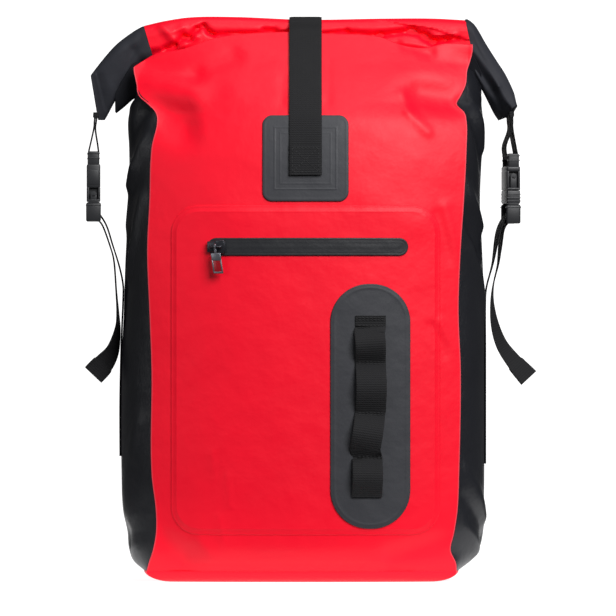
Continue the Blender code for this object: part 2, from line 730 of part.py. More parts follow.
def make_pull():
    """An eye round the bridge bar, a neck and a long grip, hanging with a slight lean."""
    hole = BRIDGE_BAR + PULL_PLAY
    eye = hole + EYE_WALL
    low = PULL_LENGTH - eye - NECK_LENGTH
    ring = rod(eye, PULL_THICKNESS, 0, np.zeros(3), sides=12)
    neck = block((PULL_THICKNESS * 0.9, PULL_THICKNESS * 0.8, NECK_LENGTH + EYE_WALL),
                 np.array([0, 0, -hole - (NECK_LENGTH + EYE_WALL) / 2 - 0.2 * MM]))
    grip = block((PULL_WIDTH, PULL_THICKNESS, low), np.array([0, 0, -eye - NECK_LENGTH - low / 2 + 0.5 * MM]))
    bore = rod(hole, PULL_THICKNESS * 3, 0, np.zeros(3), sides=12)
    made = fused("zip_pull", [ring, neck, grip], [bore], METAL)
    points = np.empty(len(made.data.vertices) * 3)
    made.data.vertices.foreach_get("co", points)
    points = points.reshape(-1, 3)
    points[:, 0] += np.maximum(-points[:, 2] - eye, 0) * math.tan(PULL_LEAN)
    made.data.vertices.foreach_set("co", points.ravel())
    made.data.update()
    made.location = bridge_axis()
    made.rotation_euler[2] = slider_seat()[1]


def make_front_patches():
    z, x = rounded(PATCH_HALF, PATCH_HALF, PATCH_CORNER, 2, 5, 6)
    laid("strap_patch", STRAP_X + x, PATCH_Z + z, GAP, PATCH, FRONT, COATED)
    half = (DAISY_TOP - DAISY_BOTTOM) / 2
    z, x = rounded(half, DAISY_HALF_WIDTH, DAISY_HALF_WIDTH * 0.9, 5, 6, 5)
    laid("daisy_patch", DAISY_X + x, (DAISY_TOP + DAISY_BOTTOM) / 2 + z, pocket_top() + GAP, PATCH, FRONT, COATED)


def make_centre_strap():
    """From its hemmed end up the front, over the roll and down to the back patch."""
    lift = 2 * GAP + PATCH + WEB / 2
    crease_z = 0.955 * BODY_HEIGHT
    z = np.concatenate([[STRAP_END_Z, STRAP_END_Z + STRAP_HEM, STRAP_END_Z + STRAP_HEM + 1 * MM],
                        np.linspace(STRAP_END_Z + STRAP_HEM + 12 * MM, crease_z, 9)])
    front = on_face(np.full_like(z, STRAP_X), z, np.full_like(z, lift), FRONT)
    over = ROLL_THICKNESS / 2 + GAP + WEB / 2
    top = BODY_HEIGHT + GAP + WEB / 2
    arch = [(STRAP_X, -over * share, top - over * drop)
            for share, drop in ((1.86, 0.86), (1.36, 0.62), (0.88, 0.42), (0.60, 0.19), (0.25, 0.03),
                                (-0.25, 0.03), (-0.62, 0.21), (-0.92, 0.50), (-1.55, 1.22), (-2.24, 1.92))]
    z = np.linspace(0.930 * BODY_HEIGHT, BACK_PATCH_Z + 14 * MM, 7)
    back = on_face(np.full_like(z, STRAP_X), z, np.full_like(z, lift), BACK)
    path = np.concatenate([front, np.array(arch), back])
    thick = np.full(len(path), WEB)
    thick[:2] = 2 * WEB
    path[:2, 1] -= WEB / 2
    loft("centre_strap", ribbon(path, np.array([1.0, 0, 0]), WEB_WIDE, thick), WEBBING)


Tack = namedtuple("Tack", "height rise")
TACKS = (
    Tack(1.00, 0.35),
    Tack(0.94, 1.00),
    Tack(0.74, 1.00),
    Tack(0.46, 1.05),
    Tack(0.22, 0.85),
    Tack(0.00, 0.00),
)


def chain_lift():
    return pocket_top() + 2 * GAP + PATCH + WEB / 2


def make_chain():
    """Webbing tacked down at intervals, and arching out in a loop between each two tacks."""
    length = CHAIN_TOP - CHAIN_BOTTOM
    z = []
    lift = []
    for upper, lower in zip(TACKS[:-1], TACKS[1:]):
        for t in np.linspace(0, 1, 10)[:-1]:
            z.append(CHAIN_BOTTOM + length * (upper.height + (lower.height - upper.height) * t))
            lift.append(chain_lift() + CHAIN_RISE * upper.rise * math.sin(math.pi * t) ** 1.3)
    z.append(CHAIN_BOTTOM)
    lift.append(chain_lift())
    z = np.array(z[:1] + z[5:])
    lift = np.array(lift[:1] + lift[5:])
    lift[:6] = chain_lift()
    x = np.full_like(z, DAISY_X)
    path = on_face(x, z, lift, FRONT)
    loft("daisy_chain", ribbon(path, sideways(x, z, FRONT), CHAIN_WIDTH, WEB), WEBBING)


# Sides: loop, buckle and strap on each roll end


def bar_z(side):
    """The adjuster bar, under the closed buckle."""
    return side.buckle_top - SOCKET_HEIGHT - LATCH_CLEARANCE - PLUG_HEIGHT - BAR_RADIUS - BAR_DROP


def make_socket(side):
    x = side.sign * side.buckle_x
    top = side.buckle_top
    body_height = SOCKET_HEIGHT - EYE_HEIGHT
    body_top = top - EYE_HEIGHT
    body = block((BUCKLE_THICKNESS, BUCKLE_WIDTH, body_height), (x, 0, body_top - body_height / 2))
    eye = block((EYE_THICKNESS, BUCKLE_WIDTH * 0.98, EYE_HEIGHT + 2 * MM), (x, 0, top - EYE_HEIGHT / 2 - 1 * MM))
    slot_height = EYE_HEIGHT - 2 * BAR_RADIUS - 1 * MM
    slot = block((BUCKLE_THICKNESS, WEB_SIDE + 2 * GAP, slot_height),
                 (x, 0, top - 2 * BAR_RADIUS - slot_height / 2))
    cavity = block((BUCKLE_THICKNESS - 2 * BUCKLE_WALL, BUCKLE_WIDTH - 2 * BUCKLE_WALL, body_height),
                   (x, 0, body_top - body_height / 2 - BUCKLE_WALL))
    window = block((BUCKLE_THICKNESS * 0.5, BUCKLE_WIDTH * 2, body_height * 0.5),
                   (x, 0, body_top - body_height * 0.5))
    made = fused("buckle_socket_" + side.name, [body, eye], [slot, cavity, window], NYLON)
    turned(made, side)


def make_plug(side):
    x = side.sign * side.buckle_x
    top = side.buckle_top - SOCKET_HEIGHT - LATCH_CLEARANCE
    bar = bar_z(side)
    body = block((BUCKLE_THICKNESS, BUCKLE_WIDTH, PLUG_HEIGHT), (x, 0, top - PLUG_HEIGHT / 2))
    prong_height = (SOCKET_HEIGHT - EYE_HEIGHT) * 0.8
    inner = BUCKLE_WIDTH / 2 - BUCKLE_WALL - LATCH_CLEARANCE
    depth = BUCKLE_THICKNESS - 2 * BUCKLE_WALL - 2 * LATCH_CLEARANCE
    prong_width = 4 * MM
    pieces = [body]
    for sign in (-1, 0, 1):
        wide = prong_width if sign else prong_width * 0.8
        pieces.append(block((depth * (1 if sign else 0.6), wide, prong_height + PLUG_HEIGHT / 2),
                            (x, sign * (inner - prong_width / 2), top + prong_height / 2 - PLUG_HEIGHT / 4)))
    rail_low = bar - BAR_RADIUS
    rail_high = top - PLUG_HEIGHT / 2
    rail = (BUCKLE_WIDTH - WEB_SIDE) / 2 - GAP
    for sign in (-1, 1):
        pieces.append(block((2.4 * BAR_RADIUS, rail, rail_high - rail_low),
                            (x, sign * (BUCKLE_WIDTH / 2 - rail / 2 - 0.1 * MM), (rail_high + rail_low) / 2)))
    pieces.append(rod(BAR_RADIUS, BUCKLE_WIDTH - rail, 1, np.array([x, 0, bar])))
    made = fused("buckle_plug_" + side.name, pieces, [], NYLON)
    turned(made, side)


def round_bar(middle, radius, start, end, count):
    """Points round a bar in the XZ plane, from one angle to another."""
    angles = np.radians(np.linspace(start, end, count))
    zero = np.zeros(count)
    return np.array(middle) + radius * np.stack([np.cos(angles), zero, np.sin(angles)], axis=1)


def make_end_loop(side):
    """Webbing from the roll's end down round the eye bar of the socket and back."""
    x = side.sign * side.buckle_x
    low = arm_edges(side)[1][-1]
    middle = (x, 0, side.buckle_top - BAR_RADIUS)
    radius = math.hypot(BAR_RADIUS, EYE_THICKNESS / 2) + GAP + WEB / 2
    under = round_bar(middle, radius, 0 if side.sign > 0 else 180, -180 if side.sign > 0 else 360, 9)
    apex = np.array([low[0] + side.sign * LOOP_STANDOFF, 0, low[2] + 1 * MM])
    apart = np.array([side.sign * (WEB + GAP) / 2, 0, 0])
    bow = np.array([side.sign * 1 * MM, 0, 0])
    outer = apex + apart
    inner = apex - apart
    path = np.concatenate([[outer], [outer * 0.45 + under[0] * 0.55 + bow], under,
                           [inner * 0.45 + under[-1] * 0.55 - bow], [inner]])
    path[:, 1] = 0
    made = loft("end_loop_" + side.name, ribbon(path, np.array([0, 1.0, 0]), WEB_SIDE, WEB), WEBBING)
    turned(made, side)


def gusset_side(z, side):
    """The fullest line of a gusset, with the strap's clearance."""
    return np.abs(gusset_point(0.0, z, side.sign)[..., 0]) + GAP + WEB / 2


def make_side_strap(side):
    """Up the gusset from its anchor, free to the adjuster bar, round it and down to a free end."""
    bar = bar_z(side)
    radius = BAR_RADIUS + GAP + WEB / 2
    rest_x = side.buckle_x - gusset_side(bar, side)

    def along(table, z):
        x = gusset_side(z, side) + column(table, "out") * rest_x
        return np.stack([x, z, column(table, "twist")], axis=1)

    load = along(side.load, side.anchor_z + column(side.load, "height") * (bar - side.anchor_z))
    tail = along(side.tail, bar - column(side.tail, "height") * TAIL_DROP)
    arch = round_bar((side.buckle_x, 0, bar), radius, 180, 0, 7)
    arch = np.stack([arch[:, 0], arch[:, 2], 0 * arch[:, 0]], axis=1)
    up = through(np.concatenate([load, arch[:1]]), 22)
    down = through(np.concatenate([arch[-1:], tail]), 26)
    run = np.concatenate([up[:-1], arch, down[1:]])
    path = np.stack([side.sign * run[:, 0], 0 * run[:, 0], run[:, 1]], axis=1)
    ahead = np.gradient(path, axis=0)
    ahead /= np.linalg.norm(ahead, axis=1, keepdims=True)
    upright = np.array([0, 1.0, 0])
    flat = np.cross(ahead, upright)
    angle = (run[:, 2] * math.pi / 2)[:, None]
    across = upright * np.cos(angle) + flat * np.sin(angle)
    made = loft("side_strap_" + side.name, ribbon(path, across, WEB_SIDE, WEB), WEBBING)
    turned(made, side)


# Back: patches, hand loop and shoulder straps


def make_back_patches():
    z, x = rounded(BACK_PATCH_HALF_HEIGHT, BACK_PATCH_HALF_WIDTH, PATCH_CORNER, 2, 5, 8)
    laid("back_patch", x, BACK_PATCH_Z + z, GAP, PATCH, BACK, COATED)
    z, x = rounded(LOWER_PATCH_HALF, LOWER_PATCH_HALF, PATCH_CORNER, 2, 2, 4)
    for side in SIDES:
        laid("lower_patch_" + side.name, side.sign * LOWER_PATCH_X + x, LOWER_PATCH_Z + z, GAP, PATCH, BACK, COATED)


def make_haul_loop():
    share = np.linspace(-1, 1, 15)
    lift = 2 * GAP + PATCH + WEB / 2 + HAUL_RISE * np.clip(1 - (share / 0.8) ** 2, 0, 1) ** 0.7
    z = np.full(15, HAUL_Z)
    path = on_face(share * HAUL_HALF, z, lift, BACK)
    reach = 2 * MM
    upright = on_face(share * HAUL_HALF, z + reach, 0 * z, BACK) - on_face(share * HAUL_HALF, z - reach, 0 * z, BACK)
    loft("haul_loop", ribbon(path, upright, WEB_SHOULDER, WEB), WEBBING)


def pad_path(side):
    """The shoulder strap's middle line, with its width and thickness at each point."""
    table = through(np.array(PADS), 15)
    x = side.sign * table[:, 0] * SEAM_HALF
    z = table[:, 2] * BODY_HEIGHT
    thickness = table[:, 4] * SHOULDER_PAD
    lift = 2 * GAP + PATCH + thickness / 2 + table[:, 1] * SHOULDER_BOW
    base = on_face(x, z, np.zeros_like(x), BACK)
    path = np.stack([x, base[:, 1] + lift, z], axis=1)
    return path, table[:, 3] * SHOULDER_WIDTH, thickness


def make_shoulder_strap(side):
    path, width, thickness = pad_path(side)
    rings = ribbon(path, np.array([1.0, 0, 0]), width, thickness)
    corners = []
    for k in range(4):
        here = rings[:, k]
        before = (rings[:, k - 1] - here) * PAD_BEVEL * (1 if k % 2 else 3)
        after = (rings[:, (k + 1) % 4] - here) * PAD_BEVEL * (3 if k % 2 else 1)
        corners += [here + before, here + after]
    loft("shoulder_strap_" + side.name, np.stack(corners, axis=1), FOAM)


def ladder_place(side):
    """Middle of the ladder adjuster, under the end of the pad."""
    path, width, thickness = pad_path(side)
    end = path[-1]
    return np.array([end[0], end[1], end[2] - 2 * GAP - LADDER_HEIGHT / 2])


def make_ladder(side):
    place = ladder_place(side)
    frame = block((LADDER_WIDTH, LADDER_THICKNESS, LADDER_HEIGHT), place)
    cuts = []
    for sign in (-1, 1):
        cuts.append(block((WEB_SHOULDER + 3 * GAP, LADDER_THICKNESS * 3, LADDER_HEIGHT / 2 - 1.5 * LADDER_THICKNESS),
                          place + np.array([0, 0, sign * (LADDER_HEIGHT - LADDER_THICKNESS) / 4])))
    fused("shoulder_buckle_" + side.name, [frame], cuts, NYLON)


def make_shoulder_web(side):
    """From the lower patch up to the ladder's bottom bar, round it and down to a free end."""
    place = ladder_place(side)
    radius = LADDER_THICKNESS / 2 + GAP + WEB / 2
    bar = place - np.array([0, 0, LADDER_HEIGHT / 2 - LADDER_THICKNESS / 2])
    angles = np.radians(np.linspace(180, 0, 7))
    corner = math.sqrt(2)
    arch = [bar + np.array([0, radius * corner**0.5 * math.cos(a), radius * corner**0.5 * math.sin(a)])
            for a in angles]
    foot_z = LOWER_PATCH_Z - LOWER_PATCH_HALF * 0.4
    foot = on_face(np.array([side.sign * LOWER_PATCH_X] * 2), np.array([foot_z, LOWER_PATCH_Z]),
                   np.full(2, 2 * GAP + PATCH + WEB / 2), BACK)
    rise = arch[0] - foot[1]
    climb = [foot[0], foot[1], foot[1] + rise * np.array([0.3, 0.12, 0.33]),
             foot[1] + rise * np.array([0.7, 0.5, 0.68]), arch[0] - np.array([0, 0, 3 * MM])]
    fall = [arch[-1] + np.array([side.sign * out, depth, -drop]) * MM
            for out, depth, drop in ((0, 0.5, 4), (1, 4, 25), (3, 6, 50), (4, 6, 75))]
    up = through(np.array(climb), 10)
    down = through(np.array(fall), 6)
    path = np.concatenate([up, np.array(arch), down])
    level = sideways(np.array([side.sign * LOWER_PATCH_X]), np.array([LOWER_PATCH_Z]), BACK)
    eased = 1 - smoothstep(np.arange(len(path)) / 8 - 0.4)[:, None]
    across = level * eased + np.array([1.0, 0, 0]) * (1 - eased)
    loft("shoulder_web_" + side.name, ribbon(path, across, WEB_SHOULDER, WEB), WEBBING)


clear_scene()
RED = material("red coated fabric", "E8142A", 0.55)
BLACK = material("black coated fabric", "222329", 0.5)
COATED = material("black rubberised patch", "3A3B40", 0.6)
WEBBING = material("black webbing", "232427", 0.8)
NYLON = material("black acetal", "1B1C1F", 0.4)
METAL = material("gunmetal zinc", "55575C", 0.3, 1.0)
FOAM = material("black padded mesh", "26272B", 0.85)

make_face("front_panel", FRONT, 13, 20)
make_face("back_panel", BACK, 9, 19)
make_gusset("side_panel_left", LEFT)
make_gusset("side_panel_right", RIGHT)
make_base()
make_roll()
for each in SIDES:
    make_arm(each)
    make_web(each)
make_pocket()
make_zip()
make_slider()
make_pull()
make_front_patches()
make_centre_strap()
make_chain()
for each in SIDES:
    make_socket(each)
    make_plug(each)
    make_end_loop(each)
    make_side_strap(each)
make_back_patches()
make_haul_loop()
for each in SIDES:
    make_shoulder_strap(each)
    make_ladder(each)
    make_shoulder_web(each)
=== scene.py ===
"""Waterproof roll-top backpack, dressed over its CAD frame and seen from the front in soft studio light.

Lengths are in metres: the front faces -Y, +X is the viewer's right and the floor is z = 0.
"""
import math
from collections import namedtuple

import bmesh
import bpy
import numpy as np
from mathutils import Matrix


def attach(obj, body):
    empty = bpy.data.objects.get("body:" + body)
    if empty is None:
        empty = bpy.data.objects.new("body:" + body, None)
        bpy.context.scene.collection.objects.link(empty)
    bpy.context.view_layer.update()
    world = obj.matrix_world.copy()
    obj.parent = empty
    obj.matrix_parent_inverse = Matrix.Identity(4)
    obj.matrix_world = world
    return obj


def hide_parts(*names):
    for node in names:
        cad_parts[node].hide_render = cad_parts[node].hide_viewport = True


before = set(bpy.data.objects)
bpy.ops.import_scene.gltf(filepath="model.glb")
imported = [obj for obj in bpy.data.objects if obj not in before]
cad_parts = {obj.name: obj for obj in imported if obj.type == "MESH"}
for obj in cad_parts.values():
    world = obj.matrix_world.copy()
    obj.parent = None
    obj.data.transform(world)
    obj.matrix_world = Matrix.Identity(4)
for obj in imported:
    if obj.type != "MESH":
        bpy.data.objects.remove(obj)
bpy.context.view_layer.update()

MM = 0.001
LEFT = -1
RIGHT = 1
FRONT = -1
BACK = 1

# Camera, sweep and lights
# A long lens looks straight at the front, a little above the bag's middle.
# The bag stands on a pale sweep, with the key light high on the right.
PICTURE_WIDTH = 567 * MM
PICTURE_X = 3.7 * MM
PICTURE_Z = 252 * MM
CAMERA_DISTANCE = 8.0
FOCUS_Y = -50 * MM
SENSOR = 36.0
SWEEP_WIDTH = 0.70
SWEEP_FRONT = -0.13
SWEEP_DROP = 0.12
SWEEP_BACK = 0.5
SWEEP_RADIUS = 0.4
SWEEP_HEIGHT = 0.8
BACKDROP_GLOW = 0.93
AIR_GLOW = 0.06


def linear(value):
    return value / 12.92 if value <= 0.04045 else ((value + 0.055) / 1.055) ** 2.4


def colour(code):
    """A hexadecimal sRGB colour as linear red, green, blue and alpha."""
    return (*(linear(int(code[i:i + 2], 16) / 255) for i in (0, 2, 4)), 1.0)


def node(tree, kind, inputs=None, **settings):
    """Adds a shader node, with its settings, and its inputs as values or as links from other sockets."""
    made = tree.nodes.new(kind)
    for name, value in settings.items():
        setattr(made, name, value)
    for name, value in (inputs or {}).items():
        if isinstance(value, bpy.types.NodeSocket):
            tree.links.new(value, made.inputs[name])
        else:
            made.inputs[name].default_value = value
    return made


def new_material(name, code, roughness):
    made = bpy.data.materials.new(name)
    made.use_nodes = True
    shader = made.node_tree.nodes["Principled BSDF"]
    shader.inputs["Base Color"].default_value = colour(code)
    shader.inputs["Roughness"].default_value = roughness
    return made, made.node_tree, shader


def mesh_object(name, points, faces, finishes, uv=None, finish_index=None, angle=38):
    """A smooth-shaded object from its points and faces, with creases kept above an angle."""
    mesh = bpy.data.meshes.new(name)
    mesh.from_pydata(np.asarray(points).tolist(), [], faces)
    for finish in finishes:
        mesh.materials.append(finish)
    if finish_index is not None:
        mesh.polygons.foreach_set("material_index", np.asarray(finish_index, dtype=np.int32))
    shape = bmesh.new()
    shape.from_mesh(mesh)
    bmesh.ops.recalc_face_normals(shape, faces=shape.faces)
    shape.to_mesh(mesh)
    shape.free()
    if uv is not None:
        corner = np.empty(len(mesh.loops), dtype=np.int32)
        mesh.loops.foreach_get("vertex_index", corner)
        layer = mesh.uv_layers.new(name="cloth")
        layer.data.foreach_set("uv", np.asarray(uv)[corner].ravel())
    mesh.shade_smooth()
    mesh.set_sharp_from_angle(angle=math.radians(angle))
    made = bpy.data.objects.new(name, mesh)
    bpy.context.scene.collection.objects.link(made)
    return made


def make_sweep():
    """Paper that hangs over a table's edge, lies on it and bends up into a wall, as one strip of rows."""
    angles = np.linspace(0, np.pi / 2, 24)
    wall = SWEEP_BACK + SWEEP_RADIUS
    y = np.concatenate([[SWEEP_FRONT, SWEEP_FRONT], SWEEP_BACK + SWEEP_RADIUS * np.sin(angles), [wall]])
    z = np.concatenate([[-SWEEP_DROP, 0.0], SWEEP_RADIUS * (1 - np.cos(angles)), [SWEEP_HEIGHT]])
    points = [(side * SWEEP_WIDTH / 2, py, pz) for py, pz in zip(y, z) for side in (-1, 1)]
    faces = [[2 * i, 2 * i + 1, 2 * i + 3, 2 * i + 2] for i in range(len(y) - 1)]
    paper, tree, shader = new_material("white studio paper", "8C8C8C", 1.0)
    shader.inputs["Emission Color"].default_value = (1.0, 1.0, 1.0, 1.0)
    shader.inputs["Emission Strength"].default_value = BACKDROP_GLOW
    mesh_object("studio_sweep", points, faces, [paper])


Light = namedtuple("Light", "name x y z width height power")
LIGHTS = (
    Light("key", 1.3, -2.4, 2.0, 1.8, 1.8, 118),
    Light("fill", -2.2, -2.6, 0.9, 1.4, 1.6, 12),
    Light("top", 0.0, -0.5, 2.6, 1.2, 0.8, 12),
    Light("edge_left", -1.9, -0.1, 0.8, 0.12, 1.2, 2.2),
    Light("edge_right", 1.9, -0.1, 0.8, 0.12, 1.2, 1.8),
)


def make_lights():
    for light in LIGHTS:
        lamp = bpy.data.lights.new(light.name, "AREA")
        lamp.shape = "RECTANGLE"
        lamp.size = light.width
        lamp.size_y = light.height
        lamp.energy = light.power
        made = bpy.data.objects.new(light.name, lamp)
        made.location = (light.x, light.y, light.z)
        aim = np.array([0, 0, PICTURE_Z]) - np.array([light.x, light.y, light.z])
        flat = math.hypot(aim[0], aim[1])
        made.rotation_euler = (math.pi / 2 + math.atan2(aim[2], flat), 0, math.atan2(-aim[0], aim[1]))
        bpy.context.scene.collection.objects.link(made)
    world = bpy.data.worlds.new("studio air")
    world.use_nodes = True
    world.node_tree.nodes["Background"].inputs["Color"].default_value = (1.0, 1.0, 1.0, 1.0)
    world.node_tree.nodes["Background"].inputs["Strength"].default_value = AIR_GLOW
    bpy.context.scene.world = world


def make_camera():
    lens = bpy.data.cameras.new("camera")
    lens.sensor_width = SENSOR
    lens.lens = SENSOR * CAMERA_DISTANCE / PICTURE_WIDTH
    lens.clip_end = 50
    made = bpy.data.objects.new("camera", lens)
    made.location = (PICTURE_X, FOCUS_Y - CAMERA_DISTANCE, PICTURE_Z)
    made.rotation_euler = (math.pi / 2, 0, 0)
    bpy.context.scene.collection.objects.link(made)
    bpy.context.scene.camera = made
    bpy.context.scene.view_settings.view_transform = "Standard"
    bpy.context.scene.view_settings.look = "None"


make_camera()
make_lights()
make_sweep()


# Body of the bag: two crowned faces, two bulging gussets and the base tray
# Sheets of coated polyester, welded edge to edge. Soft ridges and dents lie
# over the sections, placed in millimetres on the front as it is seen.


def in_millimetres(tree, socket):
    return node(tree, "ShaderNodeVectorMath", {0: socket, "Scale": 1000.0}, operation="SCALE").outputs[0]


def place_on_piece(tree):
    """The place in the object, in millimetres."""
    return in_millimetres(tree, node(tree, "ShaderNodeTexCoord").outputs["Object"])


def cloth_axes(tree):
    """Distances across and along the piece's own UV map, in millimetres."""
    flat = node(tree, "ShaderNodeUVMap", uv_map="cloth").outputs[0]
    return node(tree, "ShaderNodeSeparateXYZ", {0: in_millimetres(tree, flat)}).outputs


def noise(tree, place, size, detail=2.0):
    """Noise between 0 and 1 whose lumps are size millimetres across."""
    inputs = {"Vector": place, "Scale": 1.0 / size, "Detail": detail}
    return node(tree, "ShaderNodeTexNoise", inputs).outputs[0]


def scaled(tree, value, factor, added=0.0):
    """A value times a factor, plus a number or another value."""
    return node(tree, "ShaderNodeMath", {0: value, 1: factor, 2: added}, operation="MULTIPLY_ADD").outputs[0]


def sine(tree, value, pitch):
    """A sine wave of a pitch in millimetres along a value in millimetres."""
    turns = scaled(tree, value, 2 * math.pi / pitch)
    return node(tree, "ShaderNodeMath", {0: turns}, operation="SINE").outputs[0]


def finish_surface(tree, shader, place, relief, code, tone, roughness, play):
    """Colour and roughness with a slow drift over the piece, and the relief as a bump."""
    base = colour(code)
    dark = tuple(v * (1 - tone) for v in base[:3]) + (1.0,)
    light = tuple(min(v * (1 + tone), 1.0) for v in base[:3]) + (1.0,)
    tones = {0: noise(tree, place, TONE_DRIFT), 6: dark, 7: light}
    mixed = node(tree, "ShaderNodeMix", tones, data_type="RGBA")
    tree.links.new(mixed.outputs[2], shader.inputs["Base Color"])
    gloss = scaled(tree, noise(tree, place, GLOSS_DRIFT), 2 * play, roughness - play)
    tree.links.new(gloss, shader.inputs["Roughness"])
    bump = node(tree, "ShaderNodeBump", {"Height": relief, "Distance": 1.0, "Strength": 1.0})
    tree.links.new(bump.outputs[0], shader.inputs["Normal"])


def coated_cloth(name, code, roughness, tone=0.05, gloss=0.5):
    """Woven cloth under a smooth coating: a faint weave, a fine grain and soft shallow ripples."""
    made, tree, shader = new_material(name, code, roughness)
    place = place_on_piece(tree)
    axes = cloth_axes(tree)
    threads = {0: sine(tree, axes[0], WEAVE_PITCH), 1: sine(tree, axes[1], WEAVE_PITCH)}
    weave = node(tree, "ShaderNodeMath", threads, operation="MULTIPLY").outputs[0]
    relief = scaled(tree, noise(tree, place, RIPPLE_SIZE, 3.0), RIPPLE_HEIGHT)
    relief = scaled(tree, noise(tree, place, GRAIN_SIZE, 1.0), GRAIN_HEIGHT, relief)
    relief = scaled(tree, weave, WEAVE_HEIGHT, relief)
    finish_surface(tree, shader, place, relief, code, tone, roughness, 0.06)
    shader.inputs["Specular IOR Level"].default_value = gloss
    return made


# Pattern sizes in millimetres, heights in metres. Real threads are about
# 0.3 mm apart, too fine for the picture, so the weave is drawn coarser.
TONE_DRIFT = 45.0
GLOSS_DRIFT = 18.0
WEAVE_PITCH = 1.1
WEAVE_HEIGHT = 0.012 * MM
RIPPLE_SIZE = 22.0
RIPPLE_HEIGHT = 0.9 * MM
GRAIN_SIZE = 0.8
GRAIN_HEIGHT = 0.05 * MM

# Polyester under a smooth thermoplastic film: broad, soft highlights, and a paler edge where it is cut
RED = coated_cloth("red coated fabric", "FA0428", 0.48, gloss=0.28)
RED_EDGE = coated_cloth("cut edge of the red fabric", "E2404E", 0.6, gloss=0.3)
BLACK = coated_cloth("black coated fabric", "1C1D22", 0.36, tone=0.1, gloss=0.4)

BODY_HEIGHT = 520 * MM
SEAM_HALF = 142 * MM
BULGE_HALF = 167 * MM
FRONT_DEPTH = 92 * MM
BACK_DEPTH = 80 * MM
EDGE_DEPTH = 68 * MM
BASE_RIM = 10 * MM
FABRIC = 1.8 * MM
GAP = 0.45 * MM
CROWN = 2.4
LIP_DROP = 4 * MM
ROLL_THICKNESS = 28 * MM
BACK_TOP = 0.945
GUSSET_TOP = 0.905
TUCK = 0.3 * MM
WELD_GAP = 0.1 * GAP
GUSSET_SEAM_TOP = 0.916
EAR_LEFT = 9.5 * MM
EAR_RIGHT = 5 * MM
EAR_LOW = 455 * MM
EAR_HIGH = 480 * MM
EAR_RIGHT_LOW = 468 * MM
EAR_RIGHT_HIGH = 492 * MM

Section = namedtuple("Section", "height seam_left seam_right side_left side_right depth edge")
SECTIONS = (
    Section(0.019, 1.021, 0.990, 0.886, 0.856, 0.760, 0.765),
    Section(0.033, 1.007, 0.986, 0.940, 0.916, 0.837, 0.824),
    Section(0.056, 0.979, 0.950, 0.970, 0.970, 0.913, 0.912),
    Section(0.087, 0.958, 0.972, 0.979, 0.994, 0.946, 0.956),
    Section(0.125, 0.958, 0.993, 1.003, 0.997, 0.962, 0.971),
    Section(0.192, 0.986, 1.004, 1.012, 1.000, 0.978, 0.985),
    Section(0.375, 0.986, 1.014, 1.012, 1.000, 1.000, 1.000),
    Section(0.481, 1.000, 1.000, 1.000, 1.000, 1.000, 1.000),
    Section(0.587, 1.014, 1.014, 0.988, 0.988, 0.989, 0.985),
    Section(0.673, 1.000, 1.035, 0.970, 0.976, 0.973, 0.956),
    Section(0.769, 0.986, 1.053, 0.970, 0.988, 0.913, 0.882),
    Section(0.817, 0.951, 1.053, 0.976, 0.994, 0.848, 0.779),
    Section(0.831, 0.962, 1.040, 0.970, 0.990, 0.812, 0.722),
    Section(0.846, 1.012, 0.990, 0.962, 0.985, 0.772, 0.662),
    Section(0.860, 1.070, 1.015, 0.935, 0.985, 0.730, 0.590),
    Section(0.879, 1.085, 1.049, 0.928, 0.972, 0.663, 0.500),
    Section(0.908, 1.056, 1.060, 0.907, 0.935, 0.555, 0.397),
    Section(0.923, 1.028, 1.063, 0.883, 0.913, 0.490, 0.338),
    Section(0.946, 1.028, 1.063, 0.883, 0.913, 0.385, 0.324),
    Section(0.971, 1.028, 1.063, 0.883, 0.913, 0.290, 0.309),
)

Crease = namedtuple("Crease", "across height")
CREASES = (
    Crease(-1.00, 0.909),
    Crease(-0.90, 0.930),
    Crease(-0.72, 0.941),
    Crease(-0.52, 0.961),
    Crease(-0.15, 0.971),
    Crease(0.17, 0.968),
    Crease(0.44, 0.963),
    Crease(0.58, 0.948),
    Crease(0.70, 0.943),
    Crease(0.84, 0.951),
    Crease(1.00, 0.949),
)

Fold = namedtuple("Fold", "x z to_x to_z width height")
FRONT_FOLDS = (
    Fold(-137, 432, -112, 420, 18, -7.0),
    Fold(-98, 448, -94, 414, 10, 1.8),
    Fold(-138, 461, -108, 452, 13, 1.8),
    Fold(108, 449, 140, 443, 13, -6.4),
    Fold(90, 449, 96, 432, 5.0, 1.7),
    Fold(96, 432, 114, 414, 5.0, 1.7),
    Fold(84, 464, 130, 462, 12, 1.2),
    Fold(139, 441, 146, 436, 6, -3.5),
    Fold(130, 345, 143, 300, 5, 1.3),
    Fold(122, 338, 134, 296, 5, -1.1),
    Fold(125, 240, 139, 214, 4, 1.1),
    Fold(117, 236, 130, 208, 4, -0.9),
    Fold(-134, 40, -112, 26, 13, -5.2),
    Fold(82, 25, 140, 41, 10, -4.2),
    Fold(-96, 40, -84, 22, 6, 1.0),
    Fold(-84, 120, -82, 95, 2.6, 0.5),
    Fold(-70, 100, -67, 70, 2.6, 0.5),
    Fold(-78, 62, -74, 36, 2.6, 0.5),
    Fold(-62, 455, -22, 470, 10, 1.2),
    Fold(24, 472, 70, 478, 8, -1.0),
    Fold(-20, 440, -18, 480, 4, -0.8),
    Fold(22, 440, 22, 480, 4, -0.8),
    Fold(-112, 17.5, 52, 16, 2.0, -0.8),
    Fold(52, 16, 100, 12, 2.0, -0.8),
    Fold(94, 495, 116, 487, 5.5, -3.0),
    Fold(-152, 471, -100, 468, 8, -3.4),
    Fold(-100, 468, -66, 483, 9, -2.6),
    Fold(-100, 350, -60, 340, 20, 1.0),
    Fold(60, 350, 100, 330, 18, 1.0),
)

